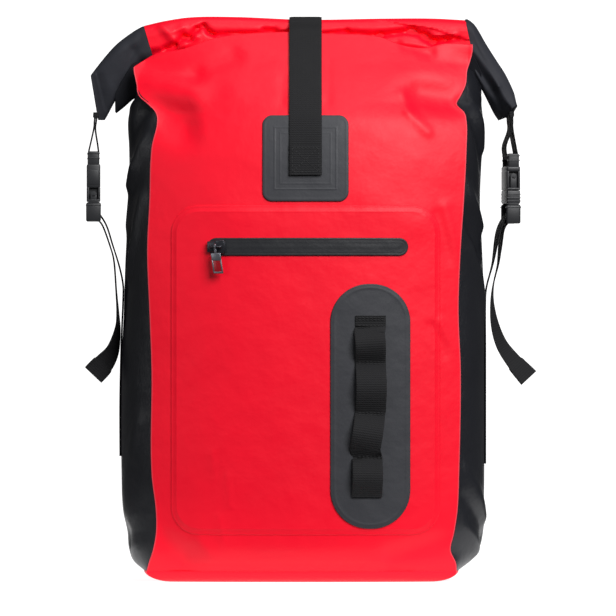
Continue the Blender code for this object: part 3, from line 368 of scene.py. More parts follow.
# Folds of a gusset, by depth instead of x
LEFT_FOLDS = (
    Fold(-42, 446, -26, 404, 10, -4.0),
    Fold(-56, 414, -28, 366, 8, 3.6),
    Fold(-38, 380, -6, 330, 9, 2.0),
    Fold(-54, 352, -34, 284, 8, 3.2),
    Fold(-30, 320, -14, 240, 10, -2.0),
    Fold(-56, 144, -26, 56, 10, 2.4),
    Fold(-46, 104, -16, 36, 9, -2.4),
)
RIGHT_FOLDS = (
    Fold(-38, 450, -16, 400, 8, 3.0),
    Fold(-52, 436, -20, 388, 8, -3.4),
    Fold(-62, 362, -24, 328, 8, 3.8),
    Fold(-64, 340, -34, 302, 7, -3.0),
    Fold(-50, 308, -12, 256, 10, 2.0),
    Fold(-64, 104, -14, 60, 8, 3.0),
    Fold(-62, 78, -12, 40, 7, -2.8),
    Fold(-66, 58, -22, 26, 7, 3.0),
)


def curve(at, places, values):
    """Cubic through the rows of a table; each row's slope is the mean of its neighbours'."""
    at = np.asarray(at, float)
    places = np.asarray(places, float)
    values = np.asarray(values, float)
    steps = np.diff(places)
    slopes = np.diff(values) / steps
    tangents = np.concatenate([slopes[:1], (slopes[:-1] + slopes[1:]) / 2, slopes[-1:]])
    at = np.clip(at, places[0], places[-1])
    i = np.clip(np.searchsorted(places, at, side="right") - 1, 0, len(steps) - 1)
    t = (at - places[i]) / steps[i]
    rise = tangents[i] * steps[i]
    fall = tangents[i + 1] * steps[i]
    return ((2 * t**3 - 3 * t**2 + 1) * values[i] + (t**3 - 2 * t**2 + t) * rise
            + (3 * t**2 - 2 * t**3) * values[i + 1] + (t**3 - t**2) * fall)


def column(table, name):
    return np.array([getattr(row, name) for row in table])


def through(points, count):
    """A smooth run of count points through the rows of an array."""
    points = np.asarray(points, float)
    rows = np.arange(len(points))
    at = np.linspace(0, len(points) - 1, count)
    return np.stack([curve(at, rows, points[:, k]) for k in range(points.shape[1])], axis=1)


def smoothstep(value):
    value = np.clip(value, 0, 1)
    return value * value * (3 - 2 * value)


def folds(table, x, z):
    """Sum of soft ridges and dents, each its height times exp(-(distance from its line / width)^2)."""
    total = np.zeros(np.broadcast(x, z).shape)
    for fold in table:
        ax, az, bx, bz, width, height = np.array(fold) * MM
        length = max((bx - ax) ** 2 + (bz - az) ** 2, 1e-9)
        t = np.clip(((x - ax) * (bx - ax) + (z - az) * (bz - az)) / length, 0, 1)
        away = (x - ax - t * (bx - ax)) ** 2 + (z - az - t * (bz - az)) ** 2
        total = total + height * np.exp(-away / width**2)
    return total


def section(name, size, z):
    """One column of the body's sections, at height z."""
    return curve(np.asarray(z) / BODY_HEIGHT, column(SECTIONS, "height"), column(SECTIONS, name)) * size


def seam_x(z, side):
    return side * section("seam_left" if side == LEFT else "seam_right", SEAM_HALF, z)


def bulge_x(z, side):
    return side * section("side_left" if side == LEFT else "side_right", BULGE_HALF, z)


def face_y(across, z, face):
    """Depth of the front or back: an edge depth at the seams and a crown between them."""
    middle = section("depth", FRONT_DEPTH if face == FRONT else BACK_DEPTH, z)
    edge = section("edge", EDGE_DEPTH, z)
    return face * (edge + (middle - edge) * (1 - np.abs(across) ** CROWN))


def creased_y(x, z, face):
    """Depth of the front or back by place, with the front's folds."""
    left = seam_x(z, LEFT)
    right = seam_x(z, RIGHT)
    across = np.clip(2 * (x - left) / (right - left) - 1, -1, 1)
    y = face_y(across, z, face)
    return y - folds(FRONT_FOLDS, x, z) * (1 - np.abs(across) ** 12) if face == FRONT else y


def unit(vectors, least=1e-12):
    """Vectors at length 1."""
    return vectors / np.maximum(np.linalg.norm(vectors, axis=-1, keepdims=True), least)


def on_face(x, z, lift, face):
    """A point lifted off the front or back along the surface's own normal."""
    nudge = 0.4 * MM
    slope_x = (creased_y(x + nudge, z, face) - creased_y(x - nudge, z, face)) / (2 * nudge)
    slope_z = (creased_y(x, z + nudge, face) - creased_y(x, z - nudge, face)) / (2 * nudge)
    normal = unit(np.stack([-slope_x, np.ones_like(slope_x), -slope_z], axis=-1) * face)
    return np.stack([x, creased_y(x, z, face), z], axis=-1) + normal * np.asarray(lift)[..., None]


def gusset_point(along, z, side, table=()):
    """A gusset: from its front seam at -1 to its back seam at 1, bulging out between."""
    seam = seam_x(z, side)
    y = along * section("edge", EDGE_DEPTH, z)
    x = seam + (bulge_x(z, side) - seam) * (1 - np.abs(along) ** CROWN)
    if table:
        x = x + side * folds(table, y, z) * (1 - np.abs(along) ** 12)
    return np.stack([x, y, z + 0 * x], axis=-1)


def crowded(count, power=1.35):
    """Steps from -1 to 1, closer together at both ends."""
    u = np.linspace(-1, 1, count)
    return np.sign(u) * (1 - (1 - np.abs(u)) ** power)


def behind(outer, thickness):
    """A grid moved along its own normals."""
    return outer - unit(np.cross(np.gradient(outer, axis=0), np.gradient(outer, axis=1))) * thickness


def grid_uv(grid):
    """Distances along a grid's rows and columns, in metres."""
    along = np.linalg.norm(np.diff(grid, axis=1), axis=-1)
    up = np.linalg.norm(np.diff(grid, axis=0), axis=-1)
    u = np.concatenate([np.zeros((grid.shape[0], 1)), np.cumsum(along, axis=1)], axis=1)
    v = np.concatenate([np.zeros((1, grid.shape[1])), np.cumsum(up, axis=0)], axis=0)
    return np.stack([u - u[:, -1:] / 2, v], axis=-1).reshape(-1, 2)


def sheet(name, outer, inner, finishes, edge_columns=0, angle=38):
    """A wall: its outer grid of points, its inner one and the edges between."""
    rows, columns = outer.shape[:2]
    count = rows * columns
    at = np.arange(count).reshape(rows, columns)
    quads = np.stack([at[:-1, :-1], at[1:, :-1], at[1:, 1:], at[:-1, 1:]], axis=-1)
    edge = np.zeros((rows - 1, columns - 1), dtype=int)
    if edge_columns:
        edge[:, :edge_columns] = 1
        edge[:, -edge_columns:] = 1
    quads = quads.reshape(-1, 4)
    rim = np.concatenate([at[0, :-1], at[:-1, -1], at[-1, :0:-1], at[:0:-1, 0]])
    following = np.roll(rim, -1)
    around = np.stack([rim, following, following + count, rim + count], axis=-1)
    faces = quads.tolist() + (quads[:, ::-1] + count).tolist() + around.tolist()
    index = np.concatenate([edge.ravel(), np.zeros(len(quads), int), np.full(len(around), len(finishes) - 1)])
    points = np.concatenate([outer.reshape(-1, 3), inner.reshape(-1, 3)])
    uv = grid_uv(outer)
    return mesh_object(name, points, faces, finishes, np.concatenate([uv, uv]), index, angle)


def dress(piece, slot, *nodes):
    """Puts a piece on the pack's body and lets it stand for its CAD nodes; its slot is not used."""
    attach(piece, "pack")
    if nodes:
        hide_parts(*nodes)
    return piece


def make_face(name, face, columns, rows):
    across = crowded(columns)[None, :]
    if face == FRONT:
        top = curve(across, column(CREASES, "across"), column(CREASES, "height")) * BODY_HEIGHT
    else:
        top = np.full_like(across, BACK_TOP * BODY_HEIGHT)
    low = BASE_RIM + WELD_GAP
    z = low + (top - low) * np.linspace(0, 1, rows)[:, None] ** 0.94
    left = seam_x(z, LEFT)
    right = seam_x(z, RIGHT)
    if face == FRONT:
        left = left - EAR_LEFT * smoothstep((z - EAR_LOW) / (EAR_HIGH - EAR_LOW))
        right = right + EAR_RIGHT * smoothstep((z - EAR_RIGHT_LOW) / (EAR_RIGHT_HIGH - EAR_RIGHT_LOW))
    x = left + (right - left) * (across + 1) / 2
    grid = np.stack([x, creased_y(x, z, face), z], axis=-1)
    crease = grid[-1]
    inwards = face * (ROLL_THICKNESS / 2 + GAP) - crease[:, 1]
    turn = [(0.06, 0.35), (0.2, 0.5), (0.4, 0.3), (0.6, -0.1), (0.8, -0.5), (1.0, -1.0)]
    lip = [crease + np.stack([0 * inwards, share * inwards, 0 * inwards + rise * LIP_DROP], axis=-1)
           for share, rise in turn]
    grid = np.concatenate([grid, np.array(lip)])
    piece = sheet(name, grid, behind(grid, FABRIC * face), [RED, RED_EDGE], edge_columns=2)
    dress(piece, "red_fabric", name)


def make_gusset(name, side, table):
    along = crowded(64)[None, :]
    low = BASE_RIM + GAP
    high = (GUSSET_TOP + (GUSSET_SEAM_TOP - GUSSET_TOP) * np.abs(along) ** 4) * BODY_HEIGHT
    z = low + (high - low) * np.linspace(0, 1, 200)[:, None]
    edge = section("edge", EDGE_DEPTH, z)
    slope = (section("edge", EDGE_DEPTH, z + MM) - section("edge", EDGE_DEPTH, z - MM)) / (2 * MM)
    inset = TUCK * np.hypot(1, slope)
    grid = gusset_point(np.broadcast_to(along, z.shape) * (1 - inset / edge), z, side, table)
    dress(sheet(name, grid, behind(grid, FABRIC * -side), [BLACK]), "black_fabric", name)


def make_base():
    """A tray: flat in the middle, and curling up a quarter round to the panels' lower edges."""
    curl_from = 0.82
    steps = np.concatenate([np.linspace(0, curl_from, 34)[:-1],
                            curl_from + (1 - curl_from) * np.sin(np.linspace(0, np.pi / 2, 13))])
    steps = np.concatenate([-steps[:0:-1], steps])
    u, v = np.meshgrid(steps, steps)
    low = BASE_RIM + 0 * u
    y = np.abs(v) * np.where(v < 0, face_y(u, low, FRONT), face_y(u, low, BACK))
    right = gusset_point(v, low, RIGHT)[..., 0]
    left = gusset_point(v, low, LEFT)[..., 0]
    x = (left + right) / 2 + u * (right - left) / 2
    curl = np.clip((np.maximum(np.abs(u), np.abs(v)) - curl_from) / (1 - curl_from), 0, 1)
    outer = np.stack([x, y, BASE_RIM * (1 - np.sqrt(1 - curl**2))], axis=-1)
    outward = unit(np.stack([np.sign(u) * np.abs(u) ** 8, np.sign(v) * np.abs(v) ** 8], axis=-1), 1e-6)
    inner = outer + FABRIC * np.sqrt(1 - curl**2)[..., None] * np.array([0, 0, 1.0])
    inner[..., :2] -= FABRIC * curl[..., None] * outward
    dress(sheet("base_panel", outer, inner, [RED]), "red_fabric", "base_panel")


make_face("front_panel", FRONT, 168, 226)
make_face("back_panel", BACK, 90, 120)
make_gusset("side_panel_left", LEFT, LEFT_FOLDS)
make_gusset("side_panel_right", RIGHT, RIGHT_FOLDS)
make_base()


# Roll: a doubled sheet wound in a flattened spiral, and its two drooping ends
# Its folds lie on the side that faces forwards. The gusset's cloth goes up
# into each end as a V whose fold is its lower edge.

# The same black cloth with a duller film. Its colour is painted lighter than the gussets' to stand for the
# light falling on the roll's ends from above
ROLL_BLACK_PAINTED_LIT = coated_cloth("black coated fabric of the roll", "2B2C32", 0.66, tone=0.1, gloss=0.2)

ROLL_SHEET = 2.0 * MM
ROLL_PITCH = 6.0 * MM
ROLL_TURNS = 1.6
ARM_REACH = 50 * MM
ARM_FALL = 90 * MM
HEM_WIDTH = 6.5 * MM
HEM_RISE = 0.7 * MM
END_PRESS = 0.55
END_PRESSED = 16 * MM
END_REACH = 24 * MM
ROLL_END_LOW = 482 * MM
ROLL_END_HIGH = 514 * MM
ROLL_LEFT_LOW = -139 * MM
ROLL_LEFT_HIGH = -148.5 * MM
ROLL_RIGHT_LOW = 157 * MM
ROLL_RIGHT_HIGH = 150 * MM
LAYER_STEP = 1.7 * MM
LAYER_SOFTNESS = 1.2 * MM

Roll = namedtuple("Roll", "across top bottom")
ROLLS = (
    Roll(-1.00, 0.990, 0.923),
    Roll(-0.88, 0.998, 0.923),
    Roll(-0.72, 1.005, 0.924),
    Roll(-0.45, 1.006, 0.924),
    Roll(0.00, 1.001, 0.924),
    Roll(0.50, 1.003, 0.923),
    Roll(0.80, 1.003, 0.921),
    Roll(1.00, 1.000, 0.920),
)
ROLL_FOLDS = (
    Fold(-131, 513, -117, 496, 4.6, 3.2),
    Fold(-128, 492, -119, 495, 2.6, -4.0),
    Fold(-119, 495, -111, 503, 2.4, -5.2),
    Fold(-111, 503, -106, 501, 2.4, -4.6),
    Fold(-106, 501, -99, 510, 2.4, -5.2),
    Fold(-99, 510, -93, 513, 2.4, -4.0),
    Fold(-93, 513, -88, 507, 2.4, -4.4),
    Fold(-143, 487, -120, 492, 3.0, -2.6),
    Fold(-110, 495, -100, 503, 3.0, 2.6),
    Fold(-120, 508, -112, 512, 3.0, 2.0),
    Fold(-88, 507, -84, 505, 2.0, -3.6),
    Fold(-84, 505, -13, 507, 2.0, -3.4),
    Fold(-37, 509, -27, 509, 2.4, -3.4),
    Fold(17, 505, 40, 508, 2.2, -3.2),
    Fold(40, 506, 70, 504, 3.0, -4.4),
    Fold(70, 504, 100, 508, 3.4, -5.6),
    Fold(100, 508, 112, 503, 3.4, -6.0),
    Fold(112, 503, 119, 498, 3.2, -6.4),
    Fold(119, 498, 131, 500, 2.4, -5.2),
    Fold(131, 500, 142, 501, 2.2, -3.6),
    Fold(120, 505, 138, 505, 2.6, 2.0),
    Fold(92, 497, 112, 494, 3.0, 1.8),
)
Layer = namedtuple("Layer", "x z")
LAYERS = (
    Layer(40, 521),
    Layer(72, 517),
    Layer(117, 510),
    Layer(152, 499),
)

Arm = namedtuple("Arm", "top_out top_fall top_depth low_out low_fall low_depth thickness")
ARM_LEFT = (
    Arm(0.03, 0.062, 0.00, -0.16, 0.480, 0.00, 0.97),
    Arm(0.10, 0.070, 0.00, -0.06, 0.495, 0.00, 0.98),
    Arm(0.29, 0.133, 0.00, 0.11, 0.511, 0.00, 0.96),
    Arm(0.57, 0.256, -0.04, 0.29, 0.667, 0.02, 0.84),
    Arm(0.83, 0.422, -0.08, 0.49, 0.822, 0.04, 0.70),
    Arm(1.03, 0.578, -0.10, 0.75, 1.044, 0.05, 0.60),
)
ARM_RIGHT = (
    Arm(-0.04, -0.008, 0.00, 0.05, 0.440, 0.00, 0.97),
    Arm(0.02, -0.006, 0.00, 0.08, 0.465, 0.00, 0.98),
    Arm(0.16, 0.060, 0.00, 0.10, 0.522, 0.00, 0.96),
    Arm(0.34, 0.233, -0.08, 0.14, 0.656, 0.06, 0.88),
    Arm(0.52, 0.411, -0.20, 0.28, 0.778, 0.20, 0.80),
    Arm(0.68, 0.589, -0.34, 0.42, 0.889, 0.38, 0.72),
    Arm(0.89, 0.900, -0.48, 0.60, 1.040, 0.56, 0.68),
)
ARM_FOLDS_LEFT = (
    Fold(-158, 490, -168, 456, 4.5, -1.6),
    Fold(-170, 492, -184, 456, 6.0, 1.0),
    Fold(-150, 505, -156, 488, 4.0, -0.8),
)
ARM_FOLDS_RIGHT = (
    Fold(155, 493, 180, 457, 2.4, 1.7),
    Fold(180, 457, 190, 438, 2.4, 1.4),
    Fold(152, 485, 176, 452, 2.6, -1.8),
    Fold(176, 452, 184, 434, 2.6, -1.4),
    Fold(158, 471, 176, 443, 2.4, 1.2),
    Fold(166, 500, 190, 458, 4.0, -1.0),
)

Web = namedtuple("Web", "out fold_fall top_fall spread")
WEB_LEFT = (
    Web(-0.05, 0.770, 0.440, 0.33),
    Web(0.21, 0.800, 0.450, 0.33),
    Web(0.32, 0.840, 0.520, 0.30),
    Web(0.42, 0.890, 0.610, 0.26),
    Web(0.58, 0.960, 0.760, 0.20),
)
WEB_RIGHT = (
    Web(-0.06, 0.790, 0.300, 0.34),
    Web(0.08, 0.775, 0.360, 0.34),
    Web(0.18, 0.765, 0.450, 0.30),
    Web(0.27, 0.770, 0.560, 0.24),
)


def spiral(radius, half_height, inset):
    """The wound sheet in its own plane: half circles of a shrinking radius, and straights between."""
    straight = half_height - radius
    pitch = ROLL_PITCH * radius / (ROLL_THICKNESS / 2)
    depth = [radius - inset] * 5
    rise = list(np.linspace(-straight, straight, 6)[:-1])
    halves = 2 * ROLL_TURNS
    for half in range(math.ceil(halves)):
        upper = 1 if half % 2 == 0 else -1
        count = 28 if half < 2 else 10
        steps = np.linspace(0, min(1, halves - half), count)
        shrunk = radius - pitch * (half + steps) / 2 - inset
        angle = math.pi * (half + steps)
        depth.extend(shrunk * np.cos(angle))
        rise.extend(shrunk * np.sin(angle) + straight * upper)
        if half + 1 < halves:
            depth.extend(np.full(9, depth[-1]))
            rise.extend(np.linspace(straight * upper, -straight * upper, 11)[1:-1])
    return np.array(depth), np.array(rise)


def pushed(grid, amount):
    """A grid moved forwards or back by an amount where it faces the viewer."""
    normals = unit(np.cross(np.gradient(grid, axis=0), np.gradient(grid, axis=1)))
    facing = np.clip(np.abs(normals[..., 1]) * 1.3 - 0.15, 0, 1)
    moved = grid.copy()
    moved[..., 1] -= amount * facing
    return moved


def outer_turn(count):
    """1 over the first turn of the spiral that faces forwards, 0 over the inner ones."""
    share = np.zeros(count)
    share[5:5 + 28 + 9 + 14] = 1.0
    return share


def make_roll():
    at = np.linspace(-1, 1, 190)
    low = curve(at, column(ROLLS, "across"), column(ROLLS, "bottom")) * BODY_HEIGHT
    high = curve(at, column(ROLLS, "across"), column(ROLLS, "top")) * BODY_HEIGHT
    layers = []
    for inset in (0.0, ROLL_SHEET):
        rows = []
        for share, bottom, top in zip(at, low, high):
            depth, rise = spiral(ROLL_THICKNESS / 2, (top - bottom) / 2, inset)
            z = (top + bottom) / 2 + rise
            left = np.interp(z, (ROLL_END_LOW, ROLL_END_HIGH), (ROLL_LEFT_LOW, ROLL_LEFT_HIGH))
            right = np.interp(z, (ROLL_END_LOW, ROLL_END_HIGH), (ROLL_RIGHT_LOW, ROLL_RIGHT_HIGH))
            rows.append(np.stack([left + (right - left) * (share + 1) / 2, depth, z], axis=1))
        grid = np.array(rows)
        x = grid[..., 0]
        z = grid[..., 2]
        edge = np.interp(x, column(LAYERS, "x") * MM, column(LAYERS, "z") * MM)
        step = LAYER_STEP * smoothstep((z - edge) / LAYER_SOFTNESS) * smoothstep((x - 40 * MM) / (30 * MM))
        amount = (folds(ROLL_FOLDS, x, z) + step) * smoothstep(-grid[..., 1] / (5 * MM))
        layers.append(pushed(grid, amount * outer_turn(grid.shape[1])))
    dress(sheet("top_roll", layers[0], layers[1], [RED]), "red_fabric", "top_roll")


def arm_edges(sign, table):
    """Top and bottom edge of a roll end and its thickness, station by station."""
    start = seam_x(ROLLS[0].bottom * BODY_HEIGHT, sign)
    top = np.stack([start + sign * table[:, 0] * ARM_REACH, table[:, 2] * ROLL_THICKNESS,
                    BODY_HEIGHT - table[:, 1] * ARM_FALL], axis=1)
    low = np.stack([start + sign * table[:, 3] * ARM_REACH, table[:, 5] * ROLL_THICKNESS,
                    BODY_HEIGHT - table[:, 4] * ARM_FALL], axis=1)
    return top, low, table[:, 6] * ROLL_THICKNESS


def make_arm(name, sign, rows_of, table, corner_at, corner):
    """The roll's own winding on a bent path, pressed flat at its hem, which juts out in a corner."""
    top, low, thickness = arm_edges(sign, through(np.array(rows_of), 72))
    middle = (top + low) / 2
    upright = top - low
    height = np.linalg.norm(upright, axis=1)
    upright /= height[:, None]
    outwards = unit(np.cross(upright, np.gradient(middle, axis=0) * sign))
    to_end = np.linalg.norm(top - top[-1], axis=1)
    thickness = thickness * (1 - END_PRESS * smoothstep(1 - to_end / END_PRESSED))
    ahead = unit(np.gradient(middle, axis=0))
    jut = corner * smoothstep(1 - to_end / END_REACH)
    hem = HEM_RISE * smoothstep((HEM_WIDTH - to_end) / (0.8 * MM) + 0.5)
    layers = []
    for inset in (0.0, ROLL_SHEET):
        rows = []
        for k in range(len(middle)):
            depth, rise = spiral(thickness[k] / 2, height[k] / 2, inset)
            out = jut[k] * np.interp(rise / height[k] + 0.5, (0, corner_at, 1), (0, 1, 0))
            rows.append(middle[k] + depth[:, None] * outwards[k] + rise[:, None] * upright[k]
                        + out[:, None] * ahead[k])
        grid = np.array(rows)
        amount = folds(table, grid[..., 0], grid[..., 2]) + hem[:, None]
        layers.append(pushed(grid, amount * outer_turn(grid.shape[1])))
    # The roll ends take the black painted lighter, a painted stand-in for the light from above
    dress(sheet(name, layers[0], layers[1], [ROLL_BLACK_PAINTED_LIT]), "black_fabric", name)


def make_web(name, sign, rows_of):
    start = seam_x(ROLLS[0].bottom * BODY_HEIGHT, sign)
    turns = np.linspace(-1, 1, 25)
    rows = []
    for out, fold, top, opening in through(np.array(rows_of), 30):
        fall = fold + (top - fold) * np.abs(turns) ** 1.4
        x = np.full(len(turns), start + sign * out * ARM_REACH)
        rows.append(np.stack([x, turns * opening * ROLL_THICKNESS, BODY_HEIGHT - fall * ARM_FALL], axis=1))
    grid = np.array(rows)
    dress(sheet(name, grid, behind(grid, FABRIC * sign), [BLACK]), "black_fabric", name)


make_roll()
make_arm("roll_end_left", LEFT, ARM_LEFT, ARM_FOLDS_LEFT, 0.17, 8.5 * MM)
make_arm("roll_end_right", RIGHT, ARM_RIGHT, ARM_FOLDS_RIGHT, 0.5, 3.5 * MM)
make_web("side_fold_left", LEFT, WEB_LEFT)
make_web("side_fold_right", RIGHT, WEB_RIGHT)


# Pieces laid on the front: the welded pocket, the zip and the patches
# Each is a rounded rectangle that follows the bag, with its height worked
# out from the distance to its own border, so that weld lines run round it.

# Rubberised polyester and a polyurethane film over the zip: dark, satin and even
COATED = coated_cloth("grey rubberised patch", "323338", 0.55, tone=0.06, gloss=0.4)
ZIP_COAT = coated_cloth("black polyurethane zip coating", "1F2024", 0.45, tone=0.06, gloss=0.4)

POCKET_HALF_WIDTH = 123.5 * MM
POCKET_HALF_HEIGHT = 151 * MM
POCKET_CENTRE_X = 1.5 * MM
POCKET_CENTRE_Z = 195 * MM
POCKET_CORNER = 26 * MM
POCKET_TOP = 1.7 * MM
ZIP_LENGTH = 183 * MM
ZIP_WIDTH = 16.5 * MM
ZIP_TAPE = 1.2 * MM
ZIP_CENTRE_X = 3.5 * MM
ZIP_CENTRE_Z = 308 * MM
UNDERSIDE = 0.15 * MM
ON_POCKET = 0.1 * MM
PATCH = 1.2 * MM
PATCH_HALF = 39.5 * MM
PATCH_CORNER = 9 * MM
PATCH_Z = 389 * MM
STRAP_X = 1.4 * MM
DAISY_X = 60.5 * MM
DAISY_TOP = 274 * MM
DAISY_BOTTOM = 50 * MM
DAISY_HALF_WIDTH = 36.5 * MM


def positions(half, near, step):
    """Places from one end to the other: the near distances at both ends, and even steps between."""
    reach = near[-1]
    count = max(int(2 * (half - reach) / step), 2)
    middle = np.linspace(-(half - reach), half - reach, count + 1)[1:-1]
    return np.concatenate([-(half - near), middle, (half - near)[::-1]])


def laid(name, centre_x, centre_z, half_wide, half_high, corner, profile, low, face, finish, slot,
         fine, reach, step):
    """A rounded rectangle over the front or back, its top lifted by profile(distance from the border)."""
    bends = math.ceil(corner * math.pi / 2 / (2 * fine))
    bend = corner * (1 - np.sin(np.linspace(np.pi / 2, 0, bends + 1)))
    rest = np.arange(corner + 2 * fine, max(reach, corner + 3 * fine), fine)
    upright = half_high >= half_wide
    longer, shorter = (half_high, half_wide) if upright else (half_wide, half_high)
    along = positions(longer, np.concatenate([bend, rest]), step)
    share = positions(shorter, np.arange(0, min(reach, 0.8 * shorter), fine), step) / shorter
    past = np.maximum(np.abs(along) - (longer - corner), 0)
    width = shorter - corner + np.sqrt(np.maximum(corner**2 - past**2, 0))
    along = np.repeat(along[:, None], len(share), axis=1)
    across = width[:, None] * share[None, :]
    x, z = (across, along) if upright else (along, across)
    beyond_x = np.abs(x) - (half_wide - corner)
    beyond_z = np.abs(z) - (half_high - corner)
    outside = np.hypot(np.maximum(beyond_x, 0), np.maximum(beyond_z, 0))
    inside = np.minimum(np.maximum(beyond_x, beyond_z), 0)
    border = np.maximum(corner - outside - inside, 0)
    over = on_face(centre_x + x, centre_z + z, profile(border), face)
    under = on_face(centre_x + x, centre_z + z, np.full(x.shape, low), face)
    dress(sheet(name, over, under, [finish]), slot, name)


def line(border, at, width, height):
    """A raised or sunken line at a distance from the border, in millimetres."""
    return height * MM * np.exp(-((border / MM - at) / width) ** 2)


def rounded_edge(border, radius):
    """Rises from 0 to 1 over a quarter circle."""
    return np.sqrt(1 - (1 - np.clip(border / radius, 0, 1)) ** 2)


def patch_top(border, thickness, edge=1.0 * MM):
    """A sheet's top over the distance from its border, with a rounded edge."""
    return thickness * (0.25 + 0.75 * rounded_edge(border, edge))


def pocket_profile(border):
    rise = 0.45 * MM * rounded_edge(border, 0.6 * MM)
    rise = rise + (POCKET_TOP - 0.65 * MM) * smoothstep(border / (7 * MM))
    return 0.2 * MM + rise + line(border, 1.0, 0.55, 0.14) + line(border, 5.6, 0.6, 0.20)


def zip_profile(border):
    lines = line(border, 2.4, 0.6, -0.06) + line(border, 8.3, 1.6, 0.12)
    return POCKET_TOP + GAP + patch_top(border, ZIP_TAPE, 0.9 * MM) + lines


def strap_patch_profile(border):
    lines = line(border, 11.3, 0.7, 0.20) + line(border, 16.4, 0.7, 0.12)
    return GAP + patch_top(border, PATCH) + lines + line(border, 2.2, 0.9, 0.1)


def daisy_patch_profile(border):
    return POCKET_TOP + GAP + patch_top(border, PATCH) + line(border, 3.6, 1.3, 0.22)


laid("front_pocket", POCKET_CENTRE_X, POCKET_CENTRE_Z, POCKET_HALF_WIDTH, POCKET_HALF_HEIGHT, POCKET_CORNER,
     pocket_profile, UNDERSIDE, FRONT, RED, "red_fabric", 0.45 * MM, 9 * MM, 2.6 * MM)
laid("zip_tape", ZIP_CENTRE_X, ZIP_CENTRE_Z, ZIP_LENGTH / 2, ZIP_WIDTH / 2, ZIP_WIDTH * 0.49,
     zip_profile, POCKET_TOP + ON_POCKET, FRONT, ZIP_COAT, "patch", 0.3 * MM, ZIP_WIDTH / 2, 1.6 * MM)
laid("strap_patch", STRAP_X, PATCH_Z, PATCH_HALF, PATCH_HALF, PATCH_CORNER,
     strap_patch_profile, UNDERSIDE, FRONT, COATED, "patch", 0.4 * MM, 19 * MM, 2.0 * MM)
laid("daisy_patch", DAISY_X, (DAISY_TOP + DAISY_BOTTOM) / 2, DAISY_HALF_WIDTH, (DAISY_TOP - DAISY_BOTTOM) / 2,
     DAISY_HALF_WIDTH * 0.96, daisy_patch_profile, POCKET_TOP + ON_POCKET, FRONT, COATED, "patch",
     0.5 * MM, 7 * MM, 2.0 * MM)


# Zip slider and pull
# A cast zinc slider with a bridge bar over it, and a pull that hangs from the
# bar: an eye, a plate and a frame round a smoked pane. The pull's own body
# carries all of it.


def moulded(name, code, roughness, metallic=0.0, grain=0.03):
    """Moulded or cast material with a fine grain."""
    made, tree, shader = new_material(name, code, roughness)
    place = place_on_piece(tree)
    relief = scaled(tree, noise(tree, place, CAST_GRAIN), grain * MM)
    finish_surface(tree, shader, place, relief, code, 0.06, roughness, 0.04)
    shader.inputs["Metallic"].default_value = metallic
    return made


CAST_GRAIN = 0.6

# Tumbled and plated zinc gives small sharp glints, the moulded pane a soft red gloss
SLIDER_METAL = moulded("black nickel zinc", "34353B", 0.28, metallic=0.6, grain=0.01)
METAL = moulded("gunmetal zinc", "7B7C84", 0.3, metallic=0.8, grain=0.01)
GRIP = moulded("smoked red polycarbonate", "8E0A18", 0.25)

SLIDER_LENGTH = 17 * MM
SLIDER_WIDTH = 13 * MM
SLIDER_HEIGHT = 3.4 * MM
BRIDGE_BAR = 0.9 * MM
BRIDGE_RISE = 3.2 * MM
PULL_LENGTH = 24.5 * MM
PULL_WIDTH = 9.2 * MM
PULL_THICKNESS = 2.0 * MM
PULL_LEAN = math.radians(8)
PULL_PLAY = 0.7 * MM
EYE_WALL = 1.1 * MM
NECK_LENGTH = 5 * MM

Bit = namedtuple("Bit", "size centre bevel")


def rounded_blocks(name, bits, finish, change=None, bars=()):
    """Blocks with rounded edges and round bars as one object, each moved by change(points)."""
    points = []
    faces = []
    for bit in bits:
        shape = bmesh.new()
        bmesh.ops.create_cube(shape, size=1.0)
        for vertex in shape.verts:
            vertex.co = [c * s for c, s in zip(vertex.co, bit.size)]
        if bit.bevel > 0:
            bmesh.ops.bevel(shape, geom=shape.edges[:], offset=bit.bevel,
                            segments=3, profile=0.5, affect="EDGES")
        shape.verts.index_update()
        faces += [[len(points) + v.index for v in face.verts] for face in shape.faces]
        points += [[c + m for c, m in zip(vertex.co, bit.centre)] for vertex in shape.verts]
        shape.free()
    for ring_points, ring_faces in bars:
        faces += [[len(points) + i for i in face] for face in ring_faces]
        points += ring_points
    points = np.array(points)
    if change is not None:
        points = change(points)
    return mesh_object(name, points, faces, [finish], angle=50)


def bar(radius, length, axis, centre, sides=20):
    """Points and faces of a round bar along an axis."""
    angles = 2 * np.pi * np.arange(sides) / sides
    points = []
    for end, size in ((-0.5, 0.7), (-0.47, 1.0), (0.47, 1.0), (0.5, 0.7)):
        ring = np.zeros((sides, 3))
        ring[:, axis] = end * length
        ring[:, (axis + 1) % 3] = size * radius * np.cos(angles)
        ring[:, (axis + 2) % 3] = size * radius * np.sin(angles)
        points += (ring + centre).tolist()
    faces = [[r * sides + i, r * sides + (i + 1) % sides,
              (r + 1) * sides + (i + 1) % sides, (r + 1) * sides + i]
             for r in range(3) for i in range(sides)]
    return points, faces + [list(range(sides)), list(range(3 * sides, 4 * sides))]


def ring_bar(inner, outer, thickness, centre, sides=32):
    """Points and faces of a flat ring round the X axis."""
    angles = 2 * np.pi * np.arange(sides) / sides
    points = []
    crown = outer + 0.1 * (outer - inner)
    for radius, x in ((inner, -0.4), (outer, -0.4), (crown, 0), (outer, 0.4), (inner, 0.4)):
        ring = np.stack([np.full(sides, x * thickness),
                         radius * np.cos(angles), radius * np.sin(angles)], axis=1)
        points += (ring + centre).tolist()
    faces = []
    for r in range(5):
        after = (r + 1) % 5
        faces += [[r * sides + i, r * sides + (i + 1) % sides,
                   after * sides + (i + 1) % sides, after * sides + i]
                  for i in range(sides)]
    return points, faces


